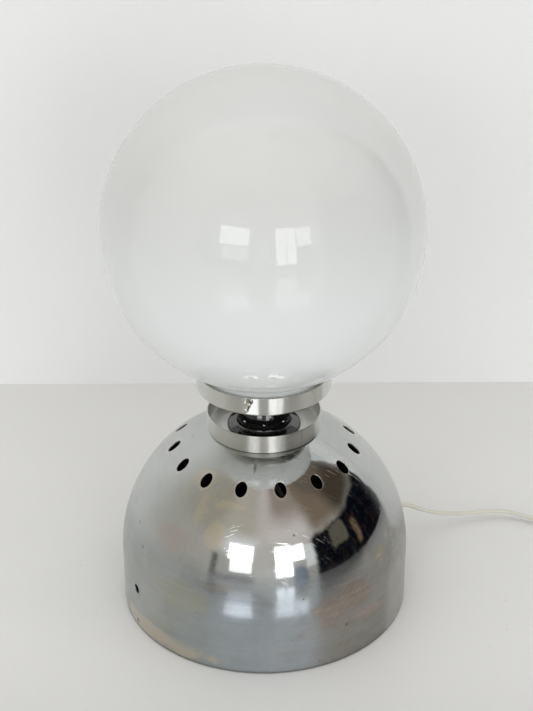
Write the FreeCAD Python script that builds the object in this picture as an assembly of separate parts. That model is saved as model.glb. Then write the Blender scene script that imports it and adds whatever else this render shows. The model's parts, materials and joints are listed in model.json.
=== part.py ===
import FreeCAD, Part
import math
import os

# Glass globe table lamp. Millimetres, +Z up, origin on the table under the lamp's axis.
# An azimuth is counted from the front (-Y) towards +X.

# ---- Driving dimensions -------------------------------------------------------------------

# base shell: a short round wall under half a sphere, cut flat on top; its vents are oval, longer
# up the slope, as holes punched before the sheet was drawn into a dome
base_diameter = 241.0
base_wall_height = 47.2
base_edge_lift = 0.8
base_sheet = 1.2
dome_seat_diameter = 88.0
vent_count = 15
vent_length = 12.9
vent_width = 9.2
vent_circle_diameter = 148.2
vent_phase = 9.88
vent_bevel = 0.7
wall_hole_diameter = 7.8
wall_hole_below_shoulder = 8.8
cord_azimuth = 119.3

# bottom plate, weight and felt
felt_thickness = 3.0
felt_width = 12.0
felt_from_screws = 3.0
plate_thickness = 1.2
plate_clearance = 0.4
plate_centre_hole = 30.0
ballast_width = 43.0
ballast_from_lugs = 6.3
ballast_thickness = 14.0
ballast_screw_diameter = 5.0
ballast_screw_depth = 8.4
base_screw_inset = 9.5
base_screw_diameter = 4.0
base_screw_end = 1.0
base_fixing_count = 3
base_fixing_phase = 30.0
pan_head_height = 1.9
pan_head_ratio = 2.0
pan_slot_ratio = 0.2
lug_width = 16.0
lug_height = 14.0
lug_thickness = 2.0
lug_reach = 15.0

# centre tube and its nuts
tube_diameter = 10.0
tube_bore = 6.8
nut_flats = 14.0
nut_height = 5.0
washer_diameter = 27.0
washer_thickness = 1.5
tube_below_nut = 8.0

# lower cup, black neck, gallery
cup_diameter = 93.2
cup_height = 15.0
cup_sheet = 1.0
cup_corner = 0.8
neck_height = 36.6
neck_foot_diameter = 60.0
neck_foot_edge = 1.0
neck_cove_diameter = 48.0
neck_cove_height = 2.6
neck_cove_bow = -0.65
neck_throat_diameter = 41.6
neck_throat_height = 4.7
neck_bulge_diameter = 43.6
neck_bulge_height = 10.3
neck_shoulder_diameter = 40.8
neck_shoulder_height = 16.6
neck_waist_diameter = 38.0
neck_waist_height = 20.8
neck_flare_diameter = 39.2
neck_flare_height = 26.1
neck_flare_bow = -0.9
neck_top_diameter = 48.0
neck_bore_diameter = 34.6
sleeve_wall = 1.6
stud_count = 8
stud_shank_diameter = 1.6
stud_head_diameter = 2.4
gallery_diameter = 108.6
gallery_height = 15.5
gallery_sheet = 1.0
gallery_corner = 2.2
gallery_vent_count = 6
gallery_vent_diameter = 9.0
gallery_vent_circle = 66.0

# thumbscrews of the gallery
thumbscrew_count = 3
thumbscrew_azimuth = -12.3
thumbscrew_below_lip = 3.7
thumbscrew_diameter = 3.0
bush_diameter = 6.4
bush_shoulder = 1.0
bush_lip = 0.4
bush_thickness = 1.6
thumbscrew_free_thread = 2.6
thumbscrew_head_diameter = 4.7
thumbscrew_head_length = 7.0
thumbscrew_shoulder_diameter = 5.2
thumbscrew_shoulder_length = 1.0
thumbscrew_end_length = 1.0
thumbscrew_end_slope = 0.6
thumbscrew_teeth = 20
knurl_depth = 0.25

# opal glass globe
globe_diameter = 250.0
globe_neck_diameter = 97.2
globe_wall = 3.0
globe_neck_height = 18.1
globe_neck_flare = 4.0

# lampholder for a 27 mm screw bulb
holder_diameter = 40.0
holder_wall = 2.2
holder_cap_height = 22.0
holder_skirt_height = 30.0
holder_skirt_edge = 2.0
holder_skirt_bevel = 1.2
holder_lip_height = 3.0
holder_boss_diameter = 17.0
holder_boss_height = 3.0
holder_entry_height = 6.0
holder_shoulder_height = 13.0
holder_outer_bow = 2.6
holder_inner_bow = -1.75
insert_height = 10.0
insert_overlap = 7.0
shell_bore = 26.7
shell_sheet = 0.4
shell_height = 22.0
shell_floor_hole = 9.0
shell_mouth_gap = 1.05
terminal_spread = 9.0
terminal_screw_diameter = 3.0
terminal_head_diameter = 5.0
terminal_head_height = 1.5
terminal_screw_depth = 8.0
contact_height = 2.3
contact_diameter = 3.6
contact_foot_diameter = 6.0
contact_foot_thickness = 0.8

# bulb
bulb_thread_clearance = 0.35
bulb_tip_diameter = 6.0
bulb_tip_height = 1.4
bulb_seal_diameter = 8.0
bulb_seal_height = 3.4
bulb_seal_inset = 2.0
bulb_cap_height = 22.0
bulb_cap_sheet = 0.4
bulb_diameter = 60.0
bulb_neck_diameter = 28.0
bulb_neck_edge = 1.5
bulb_neck_height = 4.0
bulb_glass_wall = 0.8
bulb_glass_height = 72.0
bulb_stem_depth = 5.0
mount_foot_diameter = 10.0
mount_diameter = 5.0
mount_cone_height = 14.0
mount_rod_height = 12.0
filament_diameter = 0.6

# cord, its switch, its coil and its plug
cord_diameter = 3.9
cord_clearance = 0.15
grommet_flange_diameter = 12.0
grommet_flange_thickness = 1.6
wire_diameter = 1.8
wire_spread = 2.0
wire_first_turn = 1.2
wire_second_turn = 3.9
clamp_length = 30.0
clamp_width = 10.0
clamp_thickness = 3.0
clamp_screw_diameter = 3.0
clamp_screw_spread = 18.0
clamp_screw_depth = 7.0
clamp_hole_depth = 8.4
cord_end_in_tube = 3.4
switch_length = 62.0
switch_width = 24.0
switch_height = 17.0
switch_corner = 5.0
switch_rim = 3.4
switch_wall = 1.8
switch_screw_diameter = 3.0
switch_screw_grip = 3.0
switch_hole_depth = 4.0
switch_head_diameter = 5.4
switch_head_height = 1.3
switch_boss_diameter = 7.0
switch_screw_beyond = 6.0
switch_screw_aside = 6.5
strip_length = 14.0
strip_width = 4.0
strip_thickness = 0.8
strip_riser_height = 4.0
strip_gap = 6.0
rocker_length = 15.0
rocker_width = 9.0
rocker_rise = 1.9
rocker_dish = 1.2
rocker_taper = 0.9
rocker_edge = 0.3
rocker_below_pin = 0.5
rocker_tilt = 8.0
rocker_clearance = 0.6
rocker_pivot_depth = 4.6
rocker_pin_diameter = 2.4
rocker_pin_length = 1.6
coil_outer_radius = 37.0
coil_pitch = 5.5
coil_half_turns = 8
coil_layer_step = 4.4
tie_width = 5.0
tie_thickness = 0.8
plug_body_length = 34.0
plug_body_width = 26.0
plug_body_height = 13.6
plug_corner = 6.5
plug_rim = 2.2
plug_neck_length = 24.0
plug_neck_tip_diameter = 5.6
plug_neck_root_diameter = 10.0
plug_pin_diameter = 4.0
plug_pin_length = 19.0
plug_pin_depth = 8.5
plug_pin_spread = 18.6

# clearances
slip = 0.05
running = 0.07
fit_gap = 0.1
seat_gap = 0.3

# ---- Places worked out from them ----------------------------------------------------------

base_radius = base_diameter / 2
base_screw_circle = base_diameter - 2 * base_screw_inset
felt_outer_diameter = base_screw_circle - pan_head_ratio * base_screw_diameter - 2 * felt_from_screws
felt_inner_diameter = felt_outer_diameter - 2 * felt_width
ballast_outer_diameter = base_diameter - 2 * (base_sheet + lug_reach + ballast_from_lugs)
ballast_inner_diameter = ballast_outer_diameter - 2 * ballast_width
wall_hole_height = base_wall_height - wall_hole_below_shoulder
dome_seat_radius = dome_seat_diameter / 2
seat_z = base_wall_height + math.sqrt(base_radius ** 2 - dome_seat_radius ** 2)
plate_z = felt_thickness
ballast_z = plate_z + plate_thickness
ballast_top = ballast_z + ballast_thickness
ballast_middle = (ballast_outer_diameter + ballast_inner_diameter) / 4
cup_floor_top = seat_z + cup_sheet
gallery_z = cup_floor_top + neck_height
gallery_floor_top = gallery_z + gallery_sheet
gallery_top = gallery_z + gallery_height
thumbscrew_z = gallery_top - thumbscrew_below_lip
lower_nut_z = seat_z - base_sheet - washer_thickness - nut_height
tube_bottom = lower_nut_z - tube_below_nut
upper_nut_z = gallery_floor_top + washer_thickness
holder_z = upper_nut_z + nut_height + fit_gap
tube_top = holder_z + holder_entry_height
cord_end_z = tube_top - cord_end_in_tube
insert_z = holder_z + holder_cap_height - insert_overlap
terminal_head_z = insert_z - terminal_head_height
shell_z = insert_z + insert_height
shell_outer_diameter = shell_bore + 2 * shell_sheet
holder_mouth_diameter = shell_outer_diameter + 2 * shell_mouth_gap
bulb_tip_z = shell_z + contact_height + fit_gap
bulb_cap_z = bulb_tip_z + bulb_tip_height + bulb_seal_height
bulb_cap_diameter = shell_bore - 2 * bulb_thread_clearance
bulb_stem_z = bulb_cap_z + bulb_cap_height - bulb_stem_depth
mount_z = bulb_stem_z + bulb_glass_wall + slip
mount_top = mount_z + mount_cone_height + mount_rod_height
globe_neck_bottom = gallery_floor_top + seat_gap
globe_neck_radius = globe_neck_diameter / 2
globe_radius = globe_diameter / 2
flare_z = globe_neck_bottom + globe_neck_height - globe_neck_flare
globe_z = flare_z + math.sqrt((globe_radius + globe_neck_flare) ** 2
                              - (globe_neck_radius + globe_neck_flare) ** 2)
cord_exit_radius = base_radius + slip + grommet_flange_thickness
clamp_height = cord_diameter + fit_gap + clamp_thickness
clamp_cord_z = ballast_top + fit_gap + cord_diameter / 2
bush_outer_face = gallery_diameter / 2 + slip + bush_thickness
bush_body_diameter = bush_diameter - 2 * bush_shoulder

# ---- The cord's route, chosen by hand; the first point is on the grommet's outer face -------

switch_start_x = 296.0
switch_centre_y = 80.5
cord_in_switch = 5.0
cord_straight_out = 13.0
cord_straight_in = 8.0
cord_past_clamp = 4.5
cord_bend_1_out = 22.0
cord_bend_1_drop = 4.2
cord_bend_2_out = 13.5
cord_bend_2_rise = 4.1
switch_end_x = switch_start_x + switch_length
switch_centre_x = (switch_start_x + switch_end_x) / 2
switch_half = switch_height / 2
rocker_pivot_z = switch_height - rocker_pivot_depth
cord_axis_z = switch_height / 2
coil_centre_x = 425.0
coil_centre_y = -15.0
coil_low_z = tie_thickness + fit_gap + cord_diameter / 2
coil_high_z = coil_low_z + coil_layer_step
coil_start_x = coil_centre_x - coil_outer_radius
coil_end_x = coil_centre_x + coil_outer_radius
coil_straight_y = coil_centre_y + cord_diameter
plug_x = 470.0
plug_start_y = 46.0
plug_z = plug_body_height / 2

# inside the base, from the clamp to the centre tube: (share of the way in, share of the way up)
rise_to_tube = [
    (0.157, 0.037),
    (0.291, 0.113),
    (0.403, 0.213),
    (0.537, 0.346),
    (0.679, 0.500),
    (0.821, 0.670),
    (0.946, 0.857),
]
run_1_points = [
    (128.5, 70.6, 35.2),
    (137.5, 73.2, 30.2),
    (148.2, 77.0, 24.0),
    (161.2, 83.1, 17.5),
    (175.2, 89.7, 12.3),
    (189.0, 95.2, 9.3),
    (202.7, 99.3, 8.2),
    (215.2, 101.6, 8.0),
    (227.3, 100.8, 8.0),
    (238.7, 96.8, 7.4),
    (251.0, 91.0, 6.6),
    (266.5, 84.8, 6.8),
    (282.0, switch_centre_y, cord_axis_z),
    (switch_start_x + cord_in_switch, switch_centre_y, cord_axis_z),
]
run_2_points = [
    (switch_end_x - cord_in_switch, switch_centre_y, cord_axis_z),
    (365.0, switch_centre_y, cord_axis_z),
    (376.5, 78.2, 7.8),
    (385.0, 71.2, 6.4),
    (389.5, 60.5, 4.9),
    (391.0, 46.0, 3.6),
    (390.2, 28.5, coil_low_z),
    (coil_start_x, 9.0, coil_low_z),
    (coil_start_x, coil_straight_y, coil_low_z),
]
tail_points = [
    (coil_end_x, coil_straight_y, coil_high_z),
    (coil_end_x, 3.0, coil_high_z),
    (464.2, 17.0, 7.0),
    (468.6, 31.0, plug_z),
    (plug_x, plug_start_y - 7.0, plug_z),
    (plug_x, plug_start_y, plug_z),
]
# in the bulb: (x, y, height above the glass mount) of the leads and the filament's bow
filament_points = [
    (0.6, 0.0, slip),
    (0.9, 0.0, 3.0),
    (8.0, 0.0, 10.0),
    (9.0, 0.0, 16.0),
    (5.0, 3.0, 18.5),
    (0.0, 4.0, 17.5),
    (-5.0, 3.0, 18.5),
    (-9.0, 0.0, 16.0),
    (-8.0, 0.0, 10.0),
    (-0.9, 0.0, 3.0),
    (-0.6, 0.0, slip),
]


# ---- Helpers --------------------------------------------------------------------------------

def vec(x, y, z):
    return FreeCAD.Vector(x, y, z)


ORIGIN = vec(0, 0, 0)
UP = vec(0, 0, 1)


def outward(azimuth):
    """Unit vector that points away from the axis at an azimuth."""
    angle = math.radians(azimuth)
    return vec(math.sin(angle), -math.cos(angle), 0)


def face_to(shape, azimuth):
    """Turn a shape that was made along +X so that it points along an azimuth."""
    turned_shape = shape.copy()
    turned_shape.rotate(ORIGIN, UP, azimuth - 90.0)
    return turned_shape


def around(shape, count, phase):
    """Evenly spaced copies, about the axis, of a shape made along +X."""
    return [face_to(shape, phase + k * 360.0 / count) for k in range(count)]


def turned(start, *steps):
    """Solid of revolution that goes round its outline with the material on the left.

    A step is (r, z) for a line, (r, z, bow) for an arc that bows that far to the right, or
    ((r, z) on the arc, (r, z) at its end).
    """
    here = vec(start[0], 0, start[1])
    edges = []
    for step in steps + (start,):
        if isinstance(step[0], tuple):
            through = vec(step[0][0], 0, step[0][1])
            there = vec(step[1][0], 0, step[1][1])
            edges.append(Part.Arc(here, through, there).toShape())
        elif len(step) == 3:
            there = vec(step[0], 0, step[1])
            chord = (there - here).normalize()
            through = (here + there) * 0.5 + vec(chord.z, 0, -chord.x) * step[2]
            edges.append(Part.Arc(here, through, there).toShape())
        else:
            there = vec(step[0], 0, step[1])
            edges.append(Part.LineSegment(here, there).toShape())
        here = there
    return Part.Face(Part.Wire(edges)).revolve(ORIGIN, UP, 360.0)


def on_arc(centre_r, centre_z, radius, angle):
    """Point (r, z) on a circle; 0 degrees points away from the axis, 90 points up."""
    a = math.radians(angle)
    return (centre_r + radius * math.cos(a), centre_z + radius * math.sin(a))


def tangent_angle(r, z, radius):
    """Angle at which a line from (r, z), below and right of a circle about (0, 0), touches it."""
    return math.degrees(math.atan2(z, r) + math.acos(radius / math.hypot(r, z)))


def disc(diameter, height, z):
    return Part.makeCylinder(diameter / 2, height, vec(0, 0, z))


def ring(outer, inner, height, z):
    return disc(outer, height, z).cut(disc(inner, height, z))


def peg(diameter, start, length, z):
    """Cylinder along +X, from a distance from the axis outwards, at a height."""
    return Part.makeCylinder(diameter / 2, length, vec(start, 0, z), vec(1, 0, 0))


def flat_against(wall_radius, diameter):
    """Distance from the axis at which a flat disc inside a round wall meets it with its rim."""
    return math.sqrt(wall_radius ** 2 - (diameter / 2) ** 2)


def post(diameter, height, x, y, z):
    return Part.makeCylinder(diameter / 2, height, vec(x, y, z))


def hexagon(flats, height, z):
    corners = [vec(flats / math.sqrt(3) * math.cos(math.radians(60 * k)),
                   flats / math.sqrt(3) * math.sin(math.radians(60 * k)), z) for k in range(7)]
    return Part.Face(Part.makePolygon(corners)).extrude(vec(0, 0, height))


def block(length, width, height, x, y, z):
    """Box centred on (x, y) that stands on z."""
    return Part.makeBox(length, width, height, vec(x - length / 2, y - width / 2, z))


def save(name, shape):
    shape.exportStep("parts/" + name + ".step")


def save_all(name, shapes):
    save(name, Part.makeCompound(shapes))


def swept(edges, diameter, start, direction):
    circle = Part.Wire(Part.makeCircle(diameter / 2, start, direction))
    return Part.Wire(edges).makePipeShell([circle], True, False)


def routed_tube(points, diameter, label):
    """Tube along straight runs and tangent arcs, each arc as large as its two runs allow."""
    points = [vec(*p) for p in points]
    edges = []
    here = points[0]
    least_radius = math.inf
    for before, corner, after in zip(points, points[1:], points[2:]):
        into = corner - before
        away = after - corner
        reach = 0.45 * min(into.Length, away.Length)
        half_turn = into.getAngle(away) / 2
        radius = reach / math.tan(half_turn)
        into.normalize()
        away.normalize()
        inward = (away - into).normalize()
        arc_start = corner - into * reach
        arc_end = corner + away * reach
        arc_mid = corner + inward * (radius / math.cos(half_turn) - radius)
        edges.append(Part.LineSegment(here, arc_start).toShape())
        edges.append(Part.Arc(arc_start, arc_mid, arc_end).toShape())
        here = arc_end
        least_radius = min(radius, least_radius)
    edges.append(Part.LineSegment(here, points[-1]).toShape())
    length = sum(edge.Length for edge in edges)
    tube = swept(edges, diameter, points[0], points[1] - points[0])
    expected = math.pi * diameter ** 2 / 4 * length
    print("%s: length %.1f, least radius %.1f, volume / section x length %.4f"
          % (label, length, least_radius, tube.Volume / expected))
    return tube, length


def tangent_arc_points(start, direction, end):
    """Start, middle and end of the arc that leaves a start in a given direction."""
    chord = end - start
    side = chord - direction * chord.dot(direction)
    side.normalize()
    radius = chord.dot(chord) / (2 * chord.dot(side))
    half = math.atan2(chord.dot(side), chord.dot(direction))
    middle = start + direction * (radius * math.sin(half)) + side * (radius * (1 - math.cos(half)))
    return start, middle, end


def half_turn_biarc(start, direction, end):
    """Two tangent arcs for a half turn whose end runs opposite to its start."""
    reach = (end - start).Length / 2
    joint = (start + end) * 0.5 + direction * reach
    first = tangent_arc_points(start, direction, joint)
    second = reversed(tangent_arc_points(end, direction, joint))
    return [Part.Arc(*first).toShape(), Part.Arc(*second).toShape()]


# ---- Base -----------------------------------------------------------------------------------

def make_base_dome():
    inner_radius = base_radius - base_sheet
    inner_seat = math.sqrt(inner_radius ** 2 - (seat_z - base_sheet - base_wall_height) ** 2)
    outer_angle = math.degrees(math.acos(dome_seat_radius / base_radius))
    inner_angle = math.degrees(math.acos(inner_seat / inner_radius))
    bore_radius = tube_diameter / 2 + running
    shell = turned((inner_radius, base_edge_lift),
                   (base_radius, base_edge_lift),
                   (base_radius, base_wall_height),
                   (on_arc(0, base_wall_height, base_radius, outer_angle / 2),
                    (dome_seat_radius, seat_z)),
                   (bore_radius, seat_z),
                   (bore_radius, seat_z - base_sheet),
                   (inner_seat, seat_z - base_sheet),
                   (on_arc(0, base_wall_height, inner_radius, inner_angle / 2),
                    (inner_radius, base_wall_height)))
    vent_angle = math.degrees(math.asin(vent_circle_diameter / base_diameter))
    drill = Part.makeCylinder(vent_length / 2, 4 * base_sheet, vec(0, 0, base_radius - 3 * base_sheet))
    bevel = Part.makeCone(vent_length / 2, vent_length / 2 + 2 * vent_bevel, 2 * vent_bevel,
                          vec(0, 0, base_radius - vent_bevel))
    oval = FreeCAD.Matrix()
    oval.scale(1, vent_width / vent_length, 1)
    drill = drill.fuse(bevel).transformGeometry(oval)
    drill.rotate(ORIGIN, vec(0, 1, 0), vent_angle)
    drill.translate(vec(0, 0, base_wall_height))
    wall_drill = peg(wall_hole_diameter, base_radius - 3 * base_sheet, 5 * base_sheet, wall_hole_height)
    holes = around(drill, vent_count, vent_phase)
    holes += around(wall_drill, 2, cord_azimuth)
    save("base_dome", shell.cut(Part.makeCompound(holes)))


def make_felt_ring():
    save("felt_ring", ring(felt_outer_diameter, felt_inner_diameter, felt_thickness, 0))


def fixing_holes(circle, diameter):
    drill = post(diameter, base_radius, circle / 2, 0, 0)
    return around(drill, base_fixing_count, base_fixing_phase)


def make_base_plate():
    plate = disc(base_diameter - 2 * base_sheet - 2 * plate_clearance, plate_thickness, plate_z)
    holes = [disc(plate_centre_hole, plate_thickness, plate_z)]
    holes += fixing_holes(2 * ballast_middle, ballast_screw_diameter + 2 * fit_gap)
    holes += fixing_holes(base_screw_circle, base_screw_diameter + 2 * fit_gap)
    save("base_plate", plate.cut(Part.makeCompound(holes)))


def clamp_screw_post(diameter, height, z, side):
    return post(diameter, height, ballast_middle, side * clamp_screw_spread / 2, z)


def make_ballast_ring():
    body = ring(ballast_outer_diameter, ballast_inner_diameter, ballast_thickness, ballast_z)
    holes = fixing_holes(2 * ballast_middle, ballast_screw_diameter + 2 * slip)
    for side in (-1, 1):
        drill = clamp_screw_post(clamp_screw_diameter + 2 * slip, clamp_hole_depth,
                                 ballast_top - clamp_hole_depth, side)
        holes.append(face_to(drill, cord_azimuth))
    save("ballast_ring", body.cut(Part.makeCompound(holes)))


def make_plate_screws(name, circle, diameter, grip):
    head_diameter = pan_head_ratio * diameter
    head_z = plate_z - pan_head_height
    head = post(head_diameter, pan_head_height, circle / 2, 0, head_z)
    slot = block(head_diameter, pan_slot_ratio * diameter, pan_head_height / 2, circle / 2, 0, head_z)
    shank = post(diameter, grip, circle / 2, 0, plate_z)
    screw = head.fuse(shank).cut(slot)
    save_all(name, around(screw, base_fixing_count, base_fixing_phase))


def make_base_lugs():
    wall_face = 2 * (base_radius - base_sheet - slip)
    width_box = block(lug_reach, lug_width, lug_height, base_radius - base_sheet - lug_reach / 2, 0,
                      ballast_z)
    upright = ring(wall_face, wall_face - 2 * lug_thickness, lug_height, ballast_z).common(width_box)
    foot = disc(wall_face, lug_thickness, ballast_z).common(width_box)
    drill = post(base_screw_diameter + 2 * slip, lug_thickness, base_screw_circle / 2, 0, ballast_z)
    lug = upright.fuse(foot).cut(drill)
    save_all("base_lugs", around(lug, base_fixing_count, base_fixing_phase))


def make_grommet():
    bore = cord_diameter / 2 + cord_clearance
    flange = grommet_flange_diameter / 2
    body = wall_hole_diameter / 2 - slip
    inner_wall = flat_against(base_radius - base_sheet, grommet_flange_diameter) - slip
    inner_face = inner_wall - grommet_flange_thickness
    outer_wall = base_radius + slip
    shape = peg(2 * flange, inner_face, grommet_flange_thickness, wall_hole_height)
    shape = shape.fuse(peg(2 * body, inner_wall, outer_wall - inner_wall, wall_hole_height))
    shape = shape.fuse(peg(2 * flange, outer_wall, grommet_flange_thickness, wall_hole_height))
    shape = shape.cut(peg(2 * bore, inner_face, cord_exit_radius - inner_face, wall_hole_height))
    save("cord_grommet", face_to(shape, cord_azimuth))


def make_cord_clamp():
    bar = block(clamp_width, clamp_length, clamp_height, ballast_middle, 0, ballast_top)
    channel = peg(cord_diameter + 2 * slip, ballast_middle - clamp_width / 2, clamp_width, clamp_cord_z)
    below = block(clamp_width, cord_diameter + 2 * slip, clamp_cord_z - ballast_top, ballast_middle, 0,
                  ballast_top)
    bar = bar.cut(channel.fuse(below))
    for side in (-1, 1):
        bar = bar.cut(clamp_screw_post(clamp_screw_diameter + 2 * slip, base_radius, 0, side))
    save("cord_clamp", face_to(bar, cord_azimuth))


def make_clamp_screws():
    head_z = ballast_top + clamp_height
    screws = []
    for side in (-1, 1):
        shank = clamp_screw_post(clamp_screw_diameter, clamp_height + clamp_screw_depth,
                                 ballast_top - clamp_screw_depth, side)
        head = clamp_screw_post(pan_head_ratio * clamp_screw_diameter, pan_head_height, head_z, side)
        screws.append(face_to(shank.fuse(head), cord_azimuth))
    save_all("clamp_screws", screws)


# ---- Centre tube ----------------------------------------------------------------------------

def make_centre_tube():
    save("centre_tube", ring(tube_diameter, tube_bore, tube_top - tube_bottom, tube_bottom))


def make_nut(name, z):
    nut = hexagon(nut_flats, nut_height, z)
    save(name, nut.cut(disc(tube_diameter + 2 * slip, nut_height, z)))


def make_washer(name, z):
    save(name, ring(washer_diameter, tube_diameter + 2 * fit_gap, washer_thickness, z))


# ---- Lower cup, neck and gallery --------------------------------------------------------------

def make_cup(diameter, height, sheet, corner, z):
    """Shallow cup with a rounded bottom corner, a rounded lip and a hole for the tube."""
    outer = diameter / 2
    inner = outer - sheet
    lip = sheet / 2
    bore = tube_diameter / 2 + running
    top = z + height - lip
    inner_corner = corner - sheet / 2
    return turned((bore, z),
                  (outer - corner, z),
                  (on_arc(outer - corner, z + corner, corner, -45), (outer, z + corner)),
                  (outer, top),
                  ((outer - lip, top + lip), (inner, top)),
                  (inner, z + sheet + inner_corner),
                  (on_arc(inner - inner_corner, z + sheet + inner_corner, inner_corner, -45),
                   (inner - inner_corner, z + sheet)),
                  (bore, z + sheet))


def make_lower_cup():
    save("lower_cup", make_cup(cup_diameter, cup_height, cup_sheet, cup_corner, seat_z))


def make_neck():
    foot = neck_foot_diameter / 2
    top = neck_top_diameter / 2
    bore = neck_bore_diameter / 2
    z = cup_floor_top
    edge = neck_foot_edge
    neck = turned((bore, z),
                  (foot, z),
                  (foot, z + edge),
                  (on_arc(foot - edge, z + edge, edge, 45), (foot - edge, z + 2 * edge)),
                  (neck_cove_diameter / 2, z + neck_cove_height),
                  (neck_throat_diameter / 2, z + neck_throat_height, neck_cove_bow),
                  ((neck_bulge_diameter / 2, z + neck_bulge_height),
                   (neck_shoulder_diameter / 2, z + neck_shoulder_height)),
                  ((neck_waist_diameter / 2, z + neck_waist_height),
                   (neck_flare_diameter / 2, z + neck_flare_height)),
                  (top, z + neck_height - edge, neck_flare_bow),
                  (top, z + neck_height),
                  (bore, z + neck_height))
    save("neck", neck.cut(stud_holes()))


def stud_holes():
    drill = peg(stud_shank_diameter + 2 * slip, 0, neck_foot_diameter / 2,
                cup_floor_top + neck_bulge_height)
    return Part.makeCompound(around(drill, stud_count, 0))


def make_neck_sleeve():
    outer = neck_bore_diameter - 2 * fit_gap
    sleeve = ring(outer, outer - 2 * sleeve_wall, neck_height, cup_floor_top)
    save("neck_sleeve", sleeve.cut(stud_holes()))


def make_neck_studs():
    z = cup_floor_top + neck_bulge_height
    head_start = neck_bulge_diameter / 2 + slip
    shank_start = neck_bore_diameter / 2 - fit_gap - sleeve_wall
    ball = Part.makeSphere(stud_head_diameter / 2, vec(head_start, 0, z))
    half = ball.common(block(stud_head_diameter, stud_head_diameter, stud_head_diameter,
                             head_start + stud_head_diameter / 2, 0, z - stud_head_diameter / 2))
    stud = half.fuse(peg(stud_shank_diameter, shank_start, head_start - shank_start, z))
    save_all("neck_studs", around(stud, stud_count, 0))


def make_gallery():
    gallery = make_cup(gallery_diameter, gallery_height, gallery_sheet, gallery_corner, gallery_z)
    vent = post(gallery_vent_diameter, gallery_sheet, gallery_vent_circle / 2, 0, gallery_z)
    bush_hole = peg(bush_body_diameter + 2 * slip, globe_neck_radius, gallery_diameter / 2,
                    thumbscrew_z)
    holes = around(vent, gallery_vent_count, thumbscrew_azimuth)
    holes += around(bush_hole, thumbscrew_count, thumbscrew_azimuth)
    save("gallery", gallery.cut(Part.makeCompound(holes)))


def make_gallery_bushes():
    """Threaded bushes with a collar outside the gallery's wall and a rolled lip inside it."""
    wall = gallery_diameter / 2
    lip_diameter = bush_body_diameter + 2 * bush_lip
    inner_wall = flat_against(wall - gallery_sheet, lip_diameter) - slip
    inner_face = inner_wall - bush_lip
    bush = peg(bush_diameter, wall + slip, bush_thickness, thumbscrew_z)
    bush = bush.fuse(peg(bush_body_diameter, inner_wall, wall + slip - inner_wall, thumbscrew_z))
    bush = bush.fuse(peg(lip_diameter, inner_face, bush_lip, thumbscrew_z))
    bush = bush.cut(peg(thumbscrew_diameter + 2 * running, inner_face,
                        bush_outer_face - inner_face, thumbscrew_z))
    save_all("gallery_bushes", around(bush, thumbscrew_count, thumbscrew_azimuth))


def make_thumbscrews():
    """Plain shank with a shoulder, a knurled barrel and a slightly tapered end."""
    tip = globe_neck_radius + seat_gap
    shoulder_start = bush_outer_face + thumbscrew_free_thread
    barrel_start = shoulder_start + thumbscrew_shoulder_length
    root_radius = thumbscrew_head_diameter / 2 - knurl_depth
    shank = peg(thumbscrew_diameter, tip, shoulder_start - tip, thumbscrew_z)
    shoulder = peg(thumbscrew_shoulder_diameter, shoulder_start, thumbscrew_shoulder_length,
                   thumbscrew_z)
    outline = []
    for k in range(2 * thumbscrew_teeth + 1):
        radius = root_radius + knurl_depth * ((k + 1) % 2)
        angle = math.pi * k / thumbscrew_teeth
        outline.append(vec(barrel_start, radius * math.cos(angle),
                           thumbscrew_z + radius * math.sin(angle)))
    barrel = Part.Face(Part.makePolygon(outline)).extrude(vec(thumbscrew_head_length, 0, 0))
    end = Part.makeCone(root_radius, root_radius - thumbscrew_end_slope, thumbscrew_end_length,
                        vec(barrel_start + thumbscrew_head_length, 0, thumbscrew_z), vec(1, 0, 0))
    screw = shank.fuse(shoulder).fuse(barrel).fuse(end)
    for k, copy in enumerate(around(screw, thumbscrew_count, thumbscrew_azimuth)):
        save("thumbscrew_%d" % (k + 1), copy)


# ---- Globe ------------------------------------------------------------------------------------

def make_globe():
    flare_r = globe_neck_radius + globe_neck_flare
    to_flare = math.degrees(math.atan2(flare_z - globe_z, flare_r))
    flare_middle = 180 + to_flare / 2
    side_middle = (90 + to_flare) / 2
    inner_radius = globe_radius - globe_wall
    neck_inner = globe_neck_radius - globe_wall
    globe = turned((neck_inner, globe_neck_bottom),
                   (globe_neck_radius, globe_neck_bottom),
                   (globe_neck_radius, flare_z),
                   (on_arc(flare_r, flare_z, globe_neck_flare, flare_middle),
                    on_arc(0, globe_z, globe_radius, to_flare)),
                   (on_arc(0, globe_z, globe_radius, side_middle), (0, globe_z + globe_radius)),
                   (0, globe_z + inner_radius),
                   (on_arc(0, globe_z, inner_radius, side_middle),
                    on_arc(0, globe_z, inner_radius, to_flare)),
                   (on_arc(flare_r, flare_z, globe_neck_flare + globe_wall, flare_middle),
                    (neck_inner, flare_z)))
    save("globe", globe)


# ---- Lampholder ---------------------------------------------------------------------------------

def make_holder_cap():
    outer = holder_diameter / 2
    inner = outer - holder_wall
    boss = holder_boss_diameter / 2
    bore = tube_diameter / 2 + slip
    shoulder_z = holder_z + holder_shoulder_height
    top = holder_z + holder_cap_height
    cap = turned((bore, holder_z),
                 (boss, holder_z),
                 (boss, holder_z + holder_boss_height),
                 (outer, shoulder_z, holder_outer_bow),
                 (outer, top),
                 (inner, top),
                 (inner, shoulder_z),
                 (boss, holder_z + holder_entry_height, holder_inner_bow),
                 (bore, holder_z + holder_entry_height))
    save("holder_cap", cap)


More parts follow.
